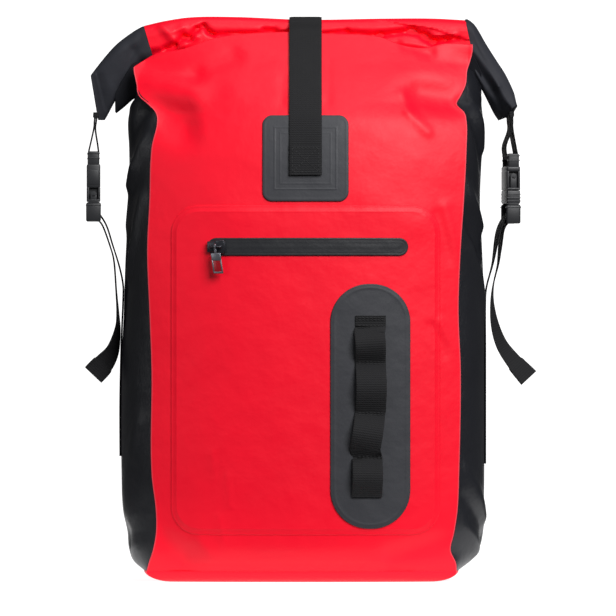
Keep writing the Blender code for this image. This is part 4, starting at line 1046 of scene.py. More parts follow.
def slider_seat():
    """Where the slider lies on the tape, and how far it is turned to follow the bag's crown."""
    x = np.array([ZIP_CENTRE_X - ZIP_LENGTH / 2 + SLIDER_LENGTH / 2])
    z = np.array([ZIP_CENTRE_Z])
    left = seam_x(z, LEFT)
    right = seam_x(z, RIGHT)
    nudge = 2 * MM
    depth = [face_y(2 * (x + d - left) / (right - left) - 1, z, FRONT)[0] for d in (-nudge, 0, nudge)]
    turn = math.atan2(depth[2] - depth[0], 2 * nudge)
    lift = POCKET_TOP + 2 * GAP + ZIP_TAPE
    return np.array([x[0] + lift * math.sin(turn), depth[1] - lift * math.cos(turn), z[0]]), turn


def placed(points, place, turn):
    """Points turned about Z and moved to a place."""
    x = points[:, 0] * math.cos(turn) - points[:, 1] * math.sin(turn)
    y = points[:, 0] * math.sin(turn) + points[:, 1] * math.cos(turn)
    return np.stack([x, y, points[:, 2]], axis=1) + place


def make_slider():
    seat, turn = slider_seat()
    top = -SLIDER_HEIGHT - BRIDGE_RISE
    span = SLIDER_LENGTH * 0.66
    bits = [
        Bit((SLIDER_LENGTH, SLIDER_HEIGHT * 0.45, SLIDER_WIDTH * 0.78),
            (0, -SLIDER_HEIGHT * 0.24, 0), 0.5 * MM),
        Bit((SLIDER_LENGTH * 0.96, SLIDER_HEIGHT * 0.5, SLIDER_WIDTH * 0.70),
            (0, -SLIDER_HEIGHT * 0.74, 0), 0.7 * MM),
        Bit((SLIDER_LENGTH * 0.5, SLIDER_HEIGHT * 0.96, SLIDER_WIDTH * 0.98),
            (SLIDER_LENGTH * 0.2, -SLIDER_HEIGHT * 0.49, 0), 1.0 * MM),
    ]
    for sign in (-1, 1):
        bits.append(Bit((2.4 * BRIDGE_BAR, BRIDGE_RISE + BRIDGE_BAR, 3.4 * BRIDGE_BAR),
                        (sign * (span / 2 - BRIDGE_BAR), top + BRIDGE_RISE / 2 + 0.3 * BRIDGE_BAR, 0),
                        0.5 * MM))
    bars = [bar(BRIDGE_BAR, span, 0, (0, top, 0))]
    piece = rounded_blocks("zip_slider", bits, SLIDER_METAL, lambda points: placed(points, seat, turn), bars)
    dress(piece, "zip_metal", "zip_slider")


def make_pull():
    seat, turn = slider_seat()
    rise = SLIDER_HEIGHT + BRIDGE_RISE
    hang = seat + rise * np.array([math.sin(turn), -math.cos(turn), 0])
    hole = BRIDGE_BAR + PULL_PLAY
    eye = hole + EYE_WALL
    plate = 7 * MM
    rail = 1.3 * MM
    grip_top = -eye - NECK_LENGTH * 0.6
    window = PULL_LENGTH + grip_top - plate - rail
    half = PULL_WIDTH / 2
    bits = [
        Bit((PULL_THICKNESS, PULL_THICKNESS * 0.8, NECK_LENGTH),
            (0, 0, -hole - NECK_LENGTH / 2 - 0.2 * MM), 0.4 * MM),
        Bit((PULL_WIDTH, PULL_THICKNESS, plate), (0, 0, grip_top - plate / 2), 0.6 * MM),
        Bit((PULL_WIDTH, PULL_THICKNESS * 0.9, rail * 1.5), (0, 0, -PULL_LENGTH + 0.75 * rail), 0.6 * MM),
    ]
    for sign in (-1, 1):
        bits.append(Bit((rail, PULL_THICKNESS * 0.9, window + 2 * rail),
                        (sign * (half - rail / 2), 0, grip_top - plate - window / 2), 0.4 * MM))

    def lean(points):
        points[:, 0] += np.maximum(-points[:, 2] - eye, 0) * math.tan(PULL_LEAN)
        return placed(points, hang, turn)

    piece = rounded_blocks("zip_pull", bits, METAL, lean, [ring_bar(hole, eye, PULL_THICKNESS, (0, 0, 0))])
    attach(piece, "zip_pull")
    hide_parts("zip_pull")
    pane = Bit((PULL_WIDTH - 1.6 * rail, PULL_THICKNESS * 0.5, window + rail),
               (0, 0, grip_top - plate - window / 2), 0.4 * MM)
    tip = rounded_blocks("zip_pull_grip", [pane], GRIP, lean)
    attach(tip, "zip_pull")


make_slider()
make_pull()


# Centre strap and daisy chain
# Flat woven polypropylene webbing, as a rounded band along a path. Its stitches
# are short threads along box seams and bar tacks.


def woven_webbing(name, code):
    """Flat webbing: ribs across its length that zigzag a little, and a fuzz of fine noise."""
    made, tree, shader = new_material(name, code, 0.85)
    place = place_on_piece(tree)
    axes = cloth_axes(tree)
    along = scaled(tree, sine(tree, axes[0], ZIGZAG_PITCH), ZIGZAG, axes[1])
    relief = scaled(tree, sine(tree, along, RIB_PITCH), RIB_HEIGHT)
    relief = scaled(tree, sine(tree, axes[0], STRAND_PITCH), STRAND_HEIGHT, relief)
    relief = scaled(tree, noise(tree, place, FUZZ_SIZE, 1.0), FUZZ_HEIGHT, relief)
    finish_surface(tree, shader, place, relief, code, 0.12, 0.82, 0.05)
    shader.inputs["Specular IOR Level"].default_value = 0.3
    return made


RIB_PITCH = 2.1
RIB_HEIGHT = 0.11 * MM
ZIGZAG_PITCH = 2.4
ZIGZAG = 0.22
STRAND_PITCH = 1.2
STRAND_HEIGHT = 0.03 * MM
FUZZ_SIZE = 0.5
FUZZ_HEIGHT = 0.10 * MM

# Matt ribs that catch the light one by one, and thread with a faint shine of its own
WEBBING = woven_webbing("black polypropylene webbing", "1A1A1C")
THREAD = moulded("black polyester thread", "1B1B1D", 0.7)

WEB_WIDE = 30 * MM
WEB = 1.5 * MM
STRAP_END_Z = 373.5 * MM
STRAP_HEM = 27 * MM
HEM_POINTS = 20
BACK_PATCH_Z = 408 * MM
CHAIN_WIDTH = 28 * MM
CHAIN_RISE = 7.5 * MM
CHAIN_TOP = 245 * MM
CHAIN_BOTTOM = 79 * MM
TACK_INSET = 3 * MM
TACK_HALF = 12 * MM
Slack = namedtuple("Slack", "z shift tilt")
SLACKS = (
    Slack(245, 0.0, 0.00),
    Slack(240, 0.0, 0.10),
    Slack(235, 0.0, 0.22),
    Slack(230, -1.5, 0.10),
    Slack(202, 0.0, 0.00),
    Slack(158, 0.0, 0.00),
    Slack(140, -3.0, -0.10),
    Slack(123, -5.5, -0.26),
    Slack(116, -3.6, -0.30),
    Slack(112, -3.0, -0.10),
    Slack(79, -3.4, 0.02),
)
THREAD_RADIUS = 0.35 * MM
STITCH = 2.4 * MM

Arch = namedtuple("Arch", "share drop")
ARCHES = (
    Arch(1.86, 0.86),
    Arch(1.36, 0.62),
    Arch(0.88, 0.42),
    Arch(0.60, 0.19),
    Arch(0.25, 0.03),
    Arch(-0.25, 0.03),
    Arch(-0.62, 0.21),
    Arch(-0.92, 0.50),
    Arch(-1.55, 1.22),
    Arch(-2.24, 1.92),
)
Tack = namedtuple("Tack", "height rise")
TACKS = (
    Tack(1.00, 0.35),
    Tack(0.94, 1.00),
    Tack(0.74, 1.00),
    Tack(0.46, 1.05),
    Tack(0.22, 0.85),
    Tack(0.00, 0.00),
)


def outline(count, blunt, flat):
    """A rounded outline half a unit to each side: powers of the cosine and sine of count angles."""
    angles = 2 * np.pi * (np.arange(count) + 0.5) / count
    wide = np.sign(np.cos(angles)) * np.abs(np.cos(angles)) ** blunt / 2
    thick = np.sign(np.sin(angles)) * np.abs(np.sin(angles)) ** flat / 2
    return wide, thick


def swept(path, across, width, thickness, wide, thick):
    """Rings of an outline along a path: its width goes across, and its thickness square to both."""
    ahead = unit(np.gradient(path, axis=0))
    across = np.broadcast_to(across, path.shape)
    across = unit(across - ahead * np.sum(across * ahead, axis=1, keepdims=True))
    up = np.cross(ahead, across)
    width = np.broadcast_to(width, len(path))
    thickness = np.broadcast_to(thickness, len(path))
    return (path[:, None] + across[:, None] * (wide[None, :] * width[:, None])[..., None]
            + up[:, None] * (thick[None, :] * thickness[:, None])[..., None])


def tube(name, rings, finish, uv=None, angle=50):
    """Rings joined into one closed skin, with a flat face at each end."""
    at = np.arange(rings.shape[0] * rings.shape[1]).reshape(rings.shape[:2])
    after = np.roll(at, -1, axis=1)
    faces = np.stack([at[:-1], after[:-1], after[1:], at[1:]], axis=-1).reshape(-1, 4).tolist()
    faces += [at[0].tolist(), at[-1].tolist()]
    return mesh_object(name, rings.reshape(-1, 3), faces, [finish], uv, angle=angle)


def band(name, path, across, width, thickness, finish):
    """Webbing along a path: rounded edges, closed ends, and a UV map in metres along and across."""
    path = np.asarray(path, float)
    wide, thick = outline(28, 0.22, 0.8)
    rings = swept(path, across, width, thickness, wide, thick)
    length = np.concatenate([[0], np.cumsum(np.linalg.norm(np.diff(path, axis=0), axis=1))])
    uv = np.stack([np.broadcast_to(wide * np.ravel(width)[0], rings.shape[:2]),
                   np.broadcast_to(length[:, None], rings.shape[:2])], axis=-1).reshape(-1, 2)
    return tube(name, rings, finish, uv)


def stitches(name, starts, ends):
    """Short threads as six-sided spindles, all in one object."""
    starts = np.asarray(starts, float)
    ends = np.asarray(ends, float)
    ahead = unit(ends - starts)
    side = unit(np.cross(ahead, np.array([0.31, 0.83, 0.47])))
    other = np.cross(ahead, side)
    angles = 2 * np.pi * np.arange(6) / 6
    rings = []
    for t, size in ((0.0, 0.45), (0.2, 1.0), (0.8, 1.0), (1.0, 0.45)):
        centre = starts + (ends - starts) * t
        around = (side[:, None] * np.cos(angles)[None, :, None]
                  + other[:, None] * np.sin(angles)[None, :, None])
        rings.append(centre[:, None] + around * THREAD_RADIUS * size)
    points = np.stack(rings, axis=1)
    at = np.arange(len(starts) * 24).reshape(-1, 4, 6)
    after = np.roll(at, -1, axis=2)
    faces = np.stack([at[:, :-1], after[:, :-1], after[:, 1:], at[:, 1:]], axis=-1).reshape(-1, 4).tolist()
    faces += at[:, 0].tolist() + at[:, -1].tolist()
    return mesh_object(name, points.reshape(-1, 3), faces, [THREAD], angle=80)


def seam_line(a, b):
    """Starts and ends of the stitches from one flat place to another."""
    a = np.array(a, float)
    b = np.array(b, float)
    count = max(int(np.linalg.norm(b - a) / (STITCH * 1.35)), 1)
    t = (np.arange(count) + 0.12) / count
    return a + (b - a) * t[:, None], a + (b - a) * (t + 0.76 / count)[:, None]


def seam_box(x, z, half_wide, half_high, cross=True):
    """The stitches of a rectangle, with a cross in it."""
    corners = [(x - half_wide, z - half_high), (x + half_wide, z - half_high),
               (x + half_wide, z + half_high), (x - half_wide, z + half_high)]
    runs = [seam_line(corners[i], corners[(i + 1) % 4]) for i in range(4)]
    if cross:
        runs += [seam_line(corners[0], corners[2]), seam_line(corners[1], corners[3])]
    return np.concatenate([run[0] for run in runs]), np.concatenate([run[1] for run in runs])


def stitched_on(name, starts, ends, lift, face):
    """Flat stitches laid on the front or back at a lift."""
    a = on_face(starts[:, 0], starts[:, 1], np.full(len(starts), lift), face)
    b = on_face(ends[:, 0], ends[:, 1], np.full(len(ends), lift), face)
    return dress(stitches(name, a, b), "webbing")


def sideways(x, z, face):
    """The direction across a face, level and along its surface."""
    reach = 2 * MM
    flat = np.zeros_like(x)
    return (on_face(x + reach, z, flat, face) - on_face(x - reach, z, flat, face)) / (2 * reach)


def make_centre_strap():
    """From its hemmed end up the front, over the roll and down to the back patch."""
    lift = 2 * GAP + PATCH + WEB / 2
    hem_top = STRAP_END_Z + STRAP_HEM
    z = np.concatenate([np.linspace(STRAP_END_Z, hem_top, HEM_POINTS), [hem_top + 0.6 * MM],
                        np.linspace(hem_top + 6 * MM, 0.955 * BODY_HEIGHT, 30)])
    front = on_face(np.full_like(z, STRAP_X), z, np.full_like(z, lift), FRONT)
    front[:HEM_POINTS, 1] -= WEB * 0.45
    over = ROLL_THICKNESS / 2 + GAP + WEB / 2
    top = BODY_HEIGHT + GAP + WEB / 2
    arch = [(STRAP_X, -over * row.share, top - over * row.drop) for row in ARCHES]
    z = np.linspace(0.930 * BODY_HEIGHT, BACK_PATCH_Z + 14 * MM, 16)
    back = on_face(np.full_like(z, STRAP_X), z, np.full_like(z, lift), BACK)
    joined = through(np.concatenate([front[-2:], np.array(arch), back[:2]]), 60)
    path = np.concatenate([front[:-2], joined, back[2:]])
    thick = np.full(len(path), WEB)
    thick[:HEM_POINTS] = 1.9 * WEB
    piece = band("centre_strap", path, np.array([1.0, 0, 0]), WEB_WIDE, thick, WEBBING)
    dress(piece, "webbing", "centre_strap")
    starts, ends = seam_box(STRAP_X, STRAP_END_Z + STRAP_HEM / 2,
                            WEB_WIDE / 2 - 3 * MM, STRAP_HEM / 2 - 2.5 * MM)
    stitched_on("centre_strap_stitching", starts, ends, lift + 1.4 * WEB, FRONT)


def chain_lift():
    return POCKET_TOP + 2 * GAP + PATCH + WEB / 2


def make_chain():
    """Webbing tacked down at intervals, and arching out in a loop between each two tacks."""
    length = CHAIN_TOP - CHAIN_BOTTOM
    z = [np.array([CHAIN_TOP])]
    lift = [np.array([chain_lift()])]
    for k, (upper, lower) in enumerate(zip(TACKS[:-1], TACKS[1:])):
        t = np.linspace(0, 1, 29)[1:]
        z.append(CHAIN_BOTTOM + length * (upper.height + (lower.height - upper.height) * t))
        rise = 0 * t if k == 0 else CHAIN_RISE * upper.rise * np.sin(np.pi * np.clip(t, 0, 1)) ** 1.3
        lift.append(chain_lift() + rise)
    z = np.concatenate(z)
    lift = np.concatenate(lift)
    slack = np.array(SLACKS)[::-1]
    x = DAISY_X + np.interp(z, slack[:, 0] * MM, slack[:, 1] * MM)
    path = on_face(x, z, lift, FRONT)
    tilt = np.interp(z, slack[:, 0] * MM, slack[:, 2])
    across = sideways(x, z, FRONT) + np.stack([0 * tilt, 0 * tilt, tilt], axis=1)
    dress(band("daisy_chain", path, across, CHAIN_WIDTH, WEB, WEBBING), "webbing", "daisy_chain")
    runs = []
    for tack in TACKS:
        level = CHAIN_BOTTOM + length * tack.height
        level = min(max(level, CHAIN_BOTTOM + TACK_INSET), CHAIN_TOP - TACK_INSET)
        for row in (-0.9 * MM, 0.9 * MM):
            runs.append(seam_line((DAISY_X - TACK_HALF, level + row), (DAISY_X + TACK_HALF, level + row)))
    starts = np.concatenate([run[0] for run in runs])
    ends = np.concatenate([run[1] for run in runs])
    stitched_on("daisy_chain_tacks", starts, ends, chain_lift() + WEB * 0.75, FRONT)


make_centre_strap()
make_chain()


# Side buckles and straps
# A loop of webbing hangs from each roll end and holds the buckle's socket.
# The plug's bar carries the side strap, which comes up from the gusset, goes
# round the bar and ends in a free tail.

# Injection-moulded acetal: a fine grain and a low, waxy gloss
NYLON = moulded("black acetal", "26272A", 0.42)

WEB_SIDE = 20 * MM
TAIL_DROP = 155 * MM
TAIL_HEM_POINTS = 9
ON_GUSSET = 0.1 * MM
LOOP_SEAM = 2.4 * WEB
LOOP_SEAM_POINTS = 4
BUCKLE_WIDTH = 28 * MM
BUCKLE_THICKNESS = 12.5 * MM
SOCKET_HEIGHT = 34 * MM
EYE_HEIGHT = 12 * MM
EYE_THICKNESS = 6 * MM
PLUG_HEIGHT = 12.5 * MM
BAR_RADIUS = 2.0 * MM
BUCKLE_WALL = 2.2 * MM
LATCH_CLEARANCE = 0.1 * MM
BAR_DROP = 5.85 * MM
RAIL_THICKNESS = 10.8 * MM
TONGUE_RADIUS = 3.0 * MM
TONGUE_THICKNESS = 2.6 * MM
ADJUSTER_THICKNESS = 13.5 * MM
ADJUSTER_DROP = 10.5 * MM
TURN_FOOT = 60 * MM
TURN_HEAD = 20 * MM

Stop = namedtuple("Stop", "out height twist")
LOAD_LEFT = (
    Stop(0.00, 0.00, 0.0),
    Stop(0.00, 0.22, 0.0),
    Stop(0.00, 0.45, 0.0),
    Stop(0.00, 0.64, 0.0),
    Stop(0.02, 0.70, 0.0),
    Stop(0.14, 0.77, 0.0),
    Stop(0.37, 0.86, 0.0),
    Stop(0.60, 0.94, 0.0),
)
LOAD_RIGHT = (
    Stop(0.00, 0.00, 0.0),
    Stop(0.00, 0.22, 0.0),
    Stop(0.00, 0.45, 0.0),
    Stop(0.00, 0.62, 0.0),
    Stop(0.06, 0.70, 0.0),
    Stop(0.31, 0.80, 0.0),
    Stop(0.55, 0.93, 0.0),
)
TAIL_LEFT = (
    Stop(0.94, 0.045, 0.0),
    Stop(0.71, 0.09, 0.0),
    Stop(0.43, 0.22, 0.0),
    Stop(0.30, 0.31, 0.0),
    Stop(0.21, 0.48, 0.0),
    Stop(0.14, 0.62, 0.05),
    Stop(0.13, 0.71, 0.15),
    Stop(0.24, 0.83, 0.40),
    Stop(0.47, 0.91, 0.75),
    Stop(0.80, 0.985, 1.12),
)
TAIL_RIGHT = (
    Stop(0.90, 0.05, 0.0),
    Stop(0.68, 0.105, 0.0),
    Stop(0.56, 0.224, 0.0),
    Stop(0.48, 0.313, 0.0),
    Stop(0.30, 0.431, 0.02),
    Stop(0.24, 0.538, 0.10),
    Stop(0.32, 0.669, 0.25),
    Stop(0.55, 0.788, 0.38),
    Stop(0.95, 0.888, 0.52),
    Stop(1.47, 0.990, 0.68),
)
Side = namedtuple("Side", "sign name load tail buckle_x anchor_z buckle_top turn "
                  "hook_x hook_z inner_bow window_in_plug")
SIDES = (
    Side(LEFT, "left", LOAD_LEFT, TAIL_LEFT, 195 * MM, 115 * MM, 397 * MM, math.radians(2),
         192.5 * MM, 433 * MM, 0.5 * MM, True),
    Side(RIGHT, "right", LOAD_RIGHT, TAIL_RIGHT, 191.5 * MM, 108 * MM, 395 * MM, math.radians(10),
         190.5 * MM, 434 * MM, 3.0 * MM, False),
)


def bar_z(side):
    """The adjuster bar, under the closed buckle."""
    return side.buckle_top - SOCKET_HEIGHT - LATCH_CLEARANCE - PLUG_HEIGHT - BAR_RADIUS - BAR_DROP


def turned(points, side):
    """Points turned about the buckle's upright axis: fully at the buckle, and not at all well below."""
    middle = side.sign * side.buckle_x
    turn = side.turn * smoothstep((points[:, 2] - bar_z(side) + TURN_FOOT) / (TURN_FOOT - TURN_HEAD))
    x = points[:, 0] - middle
    y = points[:, 1]
    return np.stack([middle + x * np.cos(turn) - y * np.sin(turn), x * np.sin(turn) + y * np.cos(turn),
                     points[:, 2]], axis=1)


def turn_object(made, side):
    points = np.empty(len(made.data.vertices) * 3)
    made.data.vertices.foreach_get("co", points)
    made.data.vertices.foreach_set("co", turned(points.reshape(-1, 3), side).ravel())
    made.data.update()
    return made


def window(x, high, low, tongue_from):
    """Both edges of a buckle between two heights: side walls, a floor set back and a round-ended tongue."""
    middle = (high + low) / 2
    height = high - low
    bits = []
    bars = []
    for sign in (-1, 1):
        bits.append(Bit((BUCKLE_WALL, BUCKLE_WIDTH - 0.6 * MM, height + 2 * MM),
                        (x + sign * (BUCKLE_THICKNESS - BUCKLE_WALL) / 2, 0, middle), 0.8 * MM))
        edge = sign * BUCKLE_WIDTH / 2
        bits.append(Bit((BUCKLE_THICKNESS - BUCKLE_WALL, 0.8 * MM, height),
                        (x, edge - sign * 4.6 * MM, middle), 0.0))
        bits.append(Bit((2 * TONGUE_RADIUS, TONGUE_THICKNESS, tongue_from - low),
                        (x, edge - sign * 1.9 * MM, (tongue_from + low) / 2), 0.5 * MM))
        bars.append(bar(TONGUE_RADIUS, TONGUE_THICKNESS, 1, (x, edge - sign * 1.9 * MM, tongue_from)))
    return bits, bars


def make_socket(side):
    """An eye with ridged rails for the webbing, and a body, closed or with a window in each edge."""
    x = side.sign * side.buckle_x
    top = side.buckle_top
    body_top = top - EYE_HEIGHT
    low = top - SOCKET_HEIGHT
    rail = (BUCKLE_WIDTH - WEB_SIDE) / 2 - GAP
    bars = [bar(BAR_RADIUS, BUCKLE_WIDTH - rail, 1, (x, 0, top - BAR_RADIUS))]
    shoulder = body_top - low if side.window_in_plug else 5 * MM
    bits = [Bit((BUCKLE_THICKNESS, BUCKLE_WIDTH, shoulder), (x, 0, body_top - shoulder / 2), 1.4 * MM)]
    if side.window_in_plug:
        bits.append(Bit((BUCKLE_THICKNESS * 0.72, BUCKLE_WIDTH + 0.8 * MM, shoulder * 0.62),
                        (x, 0, body_top - shoulder * 0.55), 0.5 * MM))
    else:
        opening, tongues = window(x, body_top - shoulder, low + 1.5 * MM, body_top - shoulder - 4.5 * MM)
        bits += opening + [Bit((BUCKLE_THICKNESS, BUCKLE_WIDTH, 2.2 * MM), (x, 0, low + 1.1 * MM), 0.7 * MM)]
        bars += tongues
    for sign in (-1, 1):
        edge = sign * (BUCKLE_WIDTH / 2 - rail / 2 - 0.3 * MM)
        bits.append(Bit((RAIL_THICKNESS, rail, EYE_HEIGHT + 2 * MM),
                        (x, edge, top - EYE_HEIGHT / 2 - 1 * MM), 1.7 * MM))
        for drop in (2.0, 6.5):
            bits.append(Bit((RAIL_THICKNESS + 0.8 * MM, rail + 0.8 * MM, 1.3 * MM),
                            (x, edge, top - drop * MM), 0.5 * MM))
    piece = rounded_blocks("buckle_socket_" + side.name, bits, NYLON,
                           lambda points: turned(points, side), bars)
    dress(piece, "buckle_plastic", "buckle_socket_" + side.name)


def make_plug(side):
    """A body, closed or with a window in each edge, and rails that hold the strap's bar."""
    x = side.sign * side.buckle_x
    top = side.buckle_top - SOCKET_HEIGHT - LATCH_CLEARANCE
    body_low = top - PLUG_HEIGHT
    low = bar_z(side)
    rail = (BUCKLE_WIDTH - WEB_SIDE) / 2 - GAP
    bars = [bar(BAR_RADIUS, BUCKLE_WIDTH - rail, 1, (x, 0, low))]
    if side.window_in_plug:
        bits, tongues = window(x, top, body_low + 1.2 * MM, body_low + 6.5 * MM)
        bits.append(Bit((BUCKLE_THICKNESS, BUCKLE_WIDTH, 2.0 * MM), (x, 0, body_low + 1.0 * MM), 0.7 * MM))
        bars += tongues
    else:
        bits = [Bit((BUCKLE_THICKNESS, BUCKLE_WIDTH, PLUG_HEIGHT), (x, 0, top - PLUG_HEIGHT / 2), 1.2 * MM)]
        bits += [Bit((BUCKLE_THICKNESS * 1.04, BUCKLE_WIDTH * 1.02, 1.2 * MM),
                     (x, 0, top - share * PLUG_HEIGHT), 0.5 * MM) for share in (0.3, 0.55, 0.8)]
    rail_low = low - ADJUSTER_DROP
    for sign in (-1, 1):
        edge = sign * (BUCKLE_WIDTH / 2 - rail / 2 - 0.1 * MM)
        bits.append(Bit((ADJUSTER_THICKNESS, rail, body_low - rail_low - 0.6 * MM),
                        (x, edge, (body_low - 0.6 * MM + rail_low) / 2), 1.7 * MM))
        bits.append(Bit((BUCKLE_THICKNESS * 0.8, rail, 4 * MM), (x, edge, body_low), 0.5 * MM))
        bits.append(Bit((ADJUSTER_THICKNESS + 0.7 * MM, rail + 0.7 * MM, 1.3 * MM),
                        (x, edge, body_low - 3.2 * MM), 0.5 * MM))
    piece = rounded_blocks("buckle_plug_" + side.name, bits, NYLON, lambda points: turned(points, side), bars)
    dress(piece, "buckle_plastic", "buckle_plug_" + side.name)


def round_bar(middle, radius, start, end, count):
    """Points round a bar in the XZ plane, from one angle to another."""
    angles = np.radians(np.linspace(start, end, count))
    return np.array(middle) + radius * np.stack([np.cos(angles), np.zeros(count), np.sin(angles)], axis=1)


def make_end_loop(side):
    """Webbing from the roll's end down round the eye bar of the socket and back, thicker where it is sewn."""
    x = side.sign * side.buckle_x
    middle = (x, 0, side.buckle_top - BAR_RADIUS)
    radius = math.hypot(BAR_RADIUS, EYE_THICKNESS / 2) + GAP + WEB / 2
    under = round_bar(middle, radius, 0 if side.sign > 0 else 180, -180 if side.sign > 0 else 360, 17)
    apex = np.array([side.sign * side.hook_x, 0, side.hook_z])
    joined = apex * 0.4 + np.array([x, 0, side.buckle_top + 2 * radius]) * 0.6
    apart = np.array([side.sign * (WEB + 0.2 * MM) / 2, 0, 0])
    bow = np.array([side.sign * side.inner_bow, 0, 0])
    down = through([apex + apart, (apex + joined) / 2 + apart, joined + apart, under[0]], 20)
    up = through([under[-1] - bow * 0.3, under[-1] * 0.6 + joined * 0.4 - bow, joined - apart,
                  (apex + joined) / 2 - apart, apex - apart], 24)
    path = np.concatenate([down[:-1], under, up[1:]])
    path[:, 1] = 0
    thick = np.full(len(path), WEB)
    thick[:LOOP_SEAM_POINTS] = LOOP_SEAM
    thick[-LOOP_SEAM_POINTS:] = LOOP_SEAM
    piece = band("end_loop_" + side.name, path, np.array([0, 1.0, 0]), WEB_SIDE, thick, WEBBING)
    dress(turn_object(piece, side), "webbing", "end_loop_" + side.name)


def gusset_side(z, side):
    """The fullest line of a gusset, with the strap's clearance."""
    return np.abs(gusset_point(0.0, z, side.sign)[..., 0]) + ON_GUSSET + WEB / 2


def make_side_strap(side):
    """Up the gusset from its anchor, free to the adjuster bar, round it and down to a free end."""
    low = bar_z(side)
    radius = BAR_RADIUS + GAP + WEB / 2
    rest_x = side.buckle_x - gusset_side(low, side)

    def along(table, z):
        x = gusset_side(z, side) + column(table, "out") * rest_x
        return np.stack([x, z, column(table, "twist")], axis=1)

    load = along(side.load, side.anchor_z + column(side.load, "height") * (low - side.anchor_z))
    tail = along(side.tail, low - column(side.tail, "height") * TAIL_DROP)
    arch = round_bar((side.buckle_x, 0, low), radius, 180, 0, 15)
    arch = np.stack([arch[:, 0], arch[:, 2], 0 * arch[:, 0]], axis=1)
    up = through(np.concatenate([load, arch[:1]]), 90)
    down = through(np.concatenate([arch[-1:], tail]), 100)
    run = np.concatenate([up[:-1], arch, down[1:]])
    path = np.stack([side.sign * run[:, 0], 0 * run[:, 0], run[:, 1]], axis=1)
    ahead = unit(np.gradient(path, axis=0))
    upright = np.array([0, 1.0, 0])
    angle = (run[:, 2] * math.pi / 2)[:, None]
    across = upright * np.cos(angle) + np.cross(ahead, upright) * np.sin(angle)
    thick = np.full(len(path), WEB)
    thick[-TAIL_HEM_POINTS:] = 2.0 * WEB
    wide = np.full(len(path), WEB_SIDE)
    wide[-TAIL_HEM_POINTS:] = 1.07 * WEB_SIDE
    piece = band("side_strap_" + side.name, path, across, wide, thick, WEBBING)
    dress(turn_object(piece, side), "webbing", "side_strap_" + side.name)


for each in SIDES:
    make_socket(each)
    make_plug(each)
    make_end_loop(each)
    make_side_strap(each)


# Back: anchor patches, hand loop and padded shoulder straps
# Foam in spacer mesh, webbing and ladder adjusters, stitched to welded
# patches. The photo doesn't show the back, so it is finished plainly.


def padded_mesh(name, code):
    """Knitted spacer mesh: a field of small round holes."""
    made, tree, shader = new_material(name, code, 0.9)
    place = place_on_piece(tree)
    holes = node(tree, "ShaderNodeTexVoronoi", {"Vector": place, "Scale": 1 / HOLE_PITCH, "Randomness": 0.25})
    finish_surface(tree, shader, place, scaled(tree, holes.outputs[0], HOLE_DEPTH), code, 0.08, 0.88, 0.04)
    return made


HOLE_PITCH = 2.6
HOLE_DEPTH = 0.5 * MM

# Open knit over foam: matt, with a dark dot in each hole
FOAM = padded_mesh("black spacer mesh", "26272B")

SHOULDER_WIDTH = 62 * MM
SHOULDER_PAD = 11 * MM
SHOULDER_BOW = 42 * MM
WEB_SHOULDER = 25 * MM
BACK_PATCH_HALF_WIDTH = 78 * MM
BACK_PATCH_HALF_HEIGHT = 34 * MM
LOWER_PATCH_HALF = 24 * MM
LOWER_PATCH_X = 104 * MM
LOWER_PATCH_Z = 62 * MM
HAUL_HALF = 28 * MM
HAUL_RISE = 24 * MM
HAUL_Z = 398 * MM
LADDER_WIDTH = 34 * MM
LADDER_HEIGHT = 24 * MM
LADDER_THICKNESS = 4 * MM

Pad = namedtuple("Pad", "across off height width padding")
PADS = (
    Pad(0.37, 0.00, 0.815, 0.55, 0.35),
    Pad(0.38, 0.10, 0.795, 0.72, 0.60),
    Pad(0.41, 0.42, 0.755, 0.90, 1.00),
    Pad(0.46, 0.84, 0.690, 1.00, 1.00),
    Pad(0.52, 1.00, 0.600, 1.00, 1.00),
    Pad(0.58, 0.88, 0.510, 0.94, 1.00),
    Pad(0.64, 0.60, 0.435, 0.80, 0.90),
    Pad(0.68, 0.32, 0.385, 0.58, 0.60),
    Pad(0.68, 0.30, 0.350, 0.42, 0.35),
)


def back_patch_profile(border):
    return GAP + patch_top(border, PATCH) + line(border, 3.4, 1.0, 0.3)


def back_patch(name, x, z, half_wide, half_high):
    laid(name, x, z, half_wide, half_high, PATCH_CORNER, back_patch_profile, UNDERSIDE, BACK, COATED, "patch",
         0.6 * MM, 6 * MM, 2.5 * MM)


def make_haul_loop():
    share = np.linspace(-1, 1, 70)
    lift = 2 * GAP + PATCH + WEB / 2 + HAUL_RISE * np.clip(1 - (share / 0.8) ** 2, 0, 1) ** 0.7
    z = np.full(70, HAUL_Z)
    path = on_face(share * HAUL_HALF, z, lift, BACK)
    reach = 2 * MM
    x = share * HAUL_HALF
    upright = on_face(x, z + reach, 0 * z, BACK) - on_face(x, z - reach, 0 * z, BACK)
    dress(band("haul_loop", path, upright, WEB_SHOULDER, WEB, WEBBING), "webbing", "haul_loop")


def pad_path(side, count):
    """The shoulder strap's middle line, with its width and thickness at each point."""
    table = through(np.array(PADS), count)
    x = side.sign * table[:, 0] * SEAM_HALF
    z = table[:, 2] * BODY_HEIGHT
    thickness = table[:, 4] * SHOULDER_PAD
    lift = 2 * GAP + PATCH + thickness / 2 + table[:, 1] * SHOULDER_BOW
    base = on_face(x, z, np.zeros_like(x), BACK)
    return np.stack([x, base[:, 1] + lift, z], axis=1), table[:, 3] * SHOULDER_WIDTH, thickness


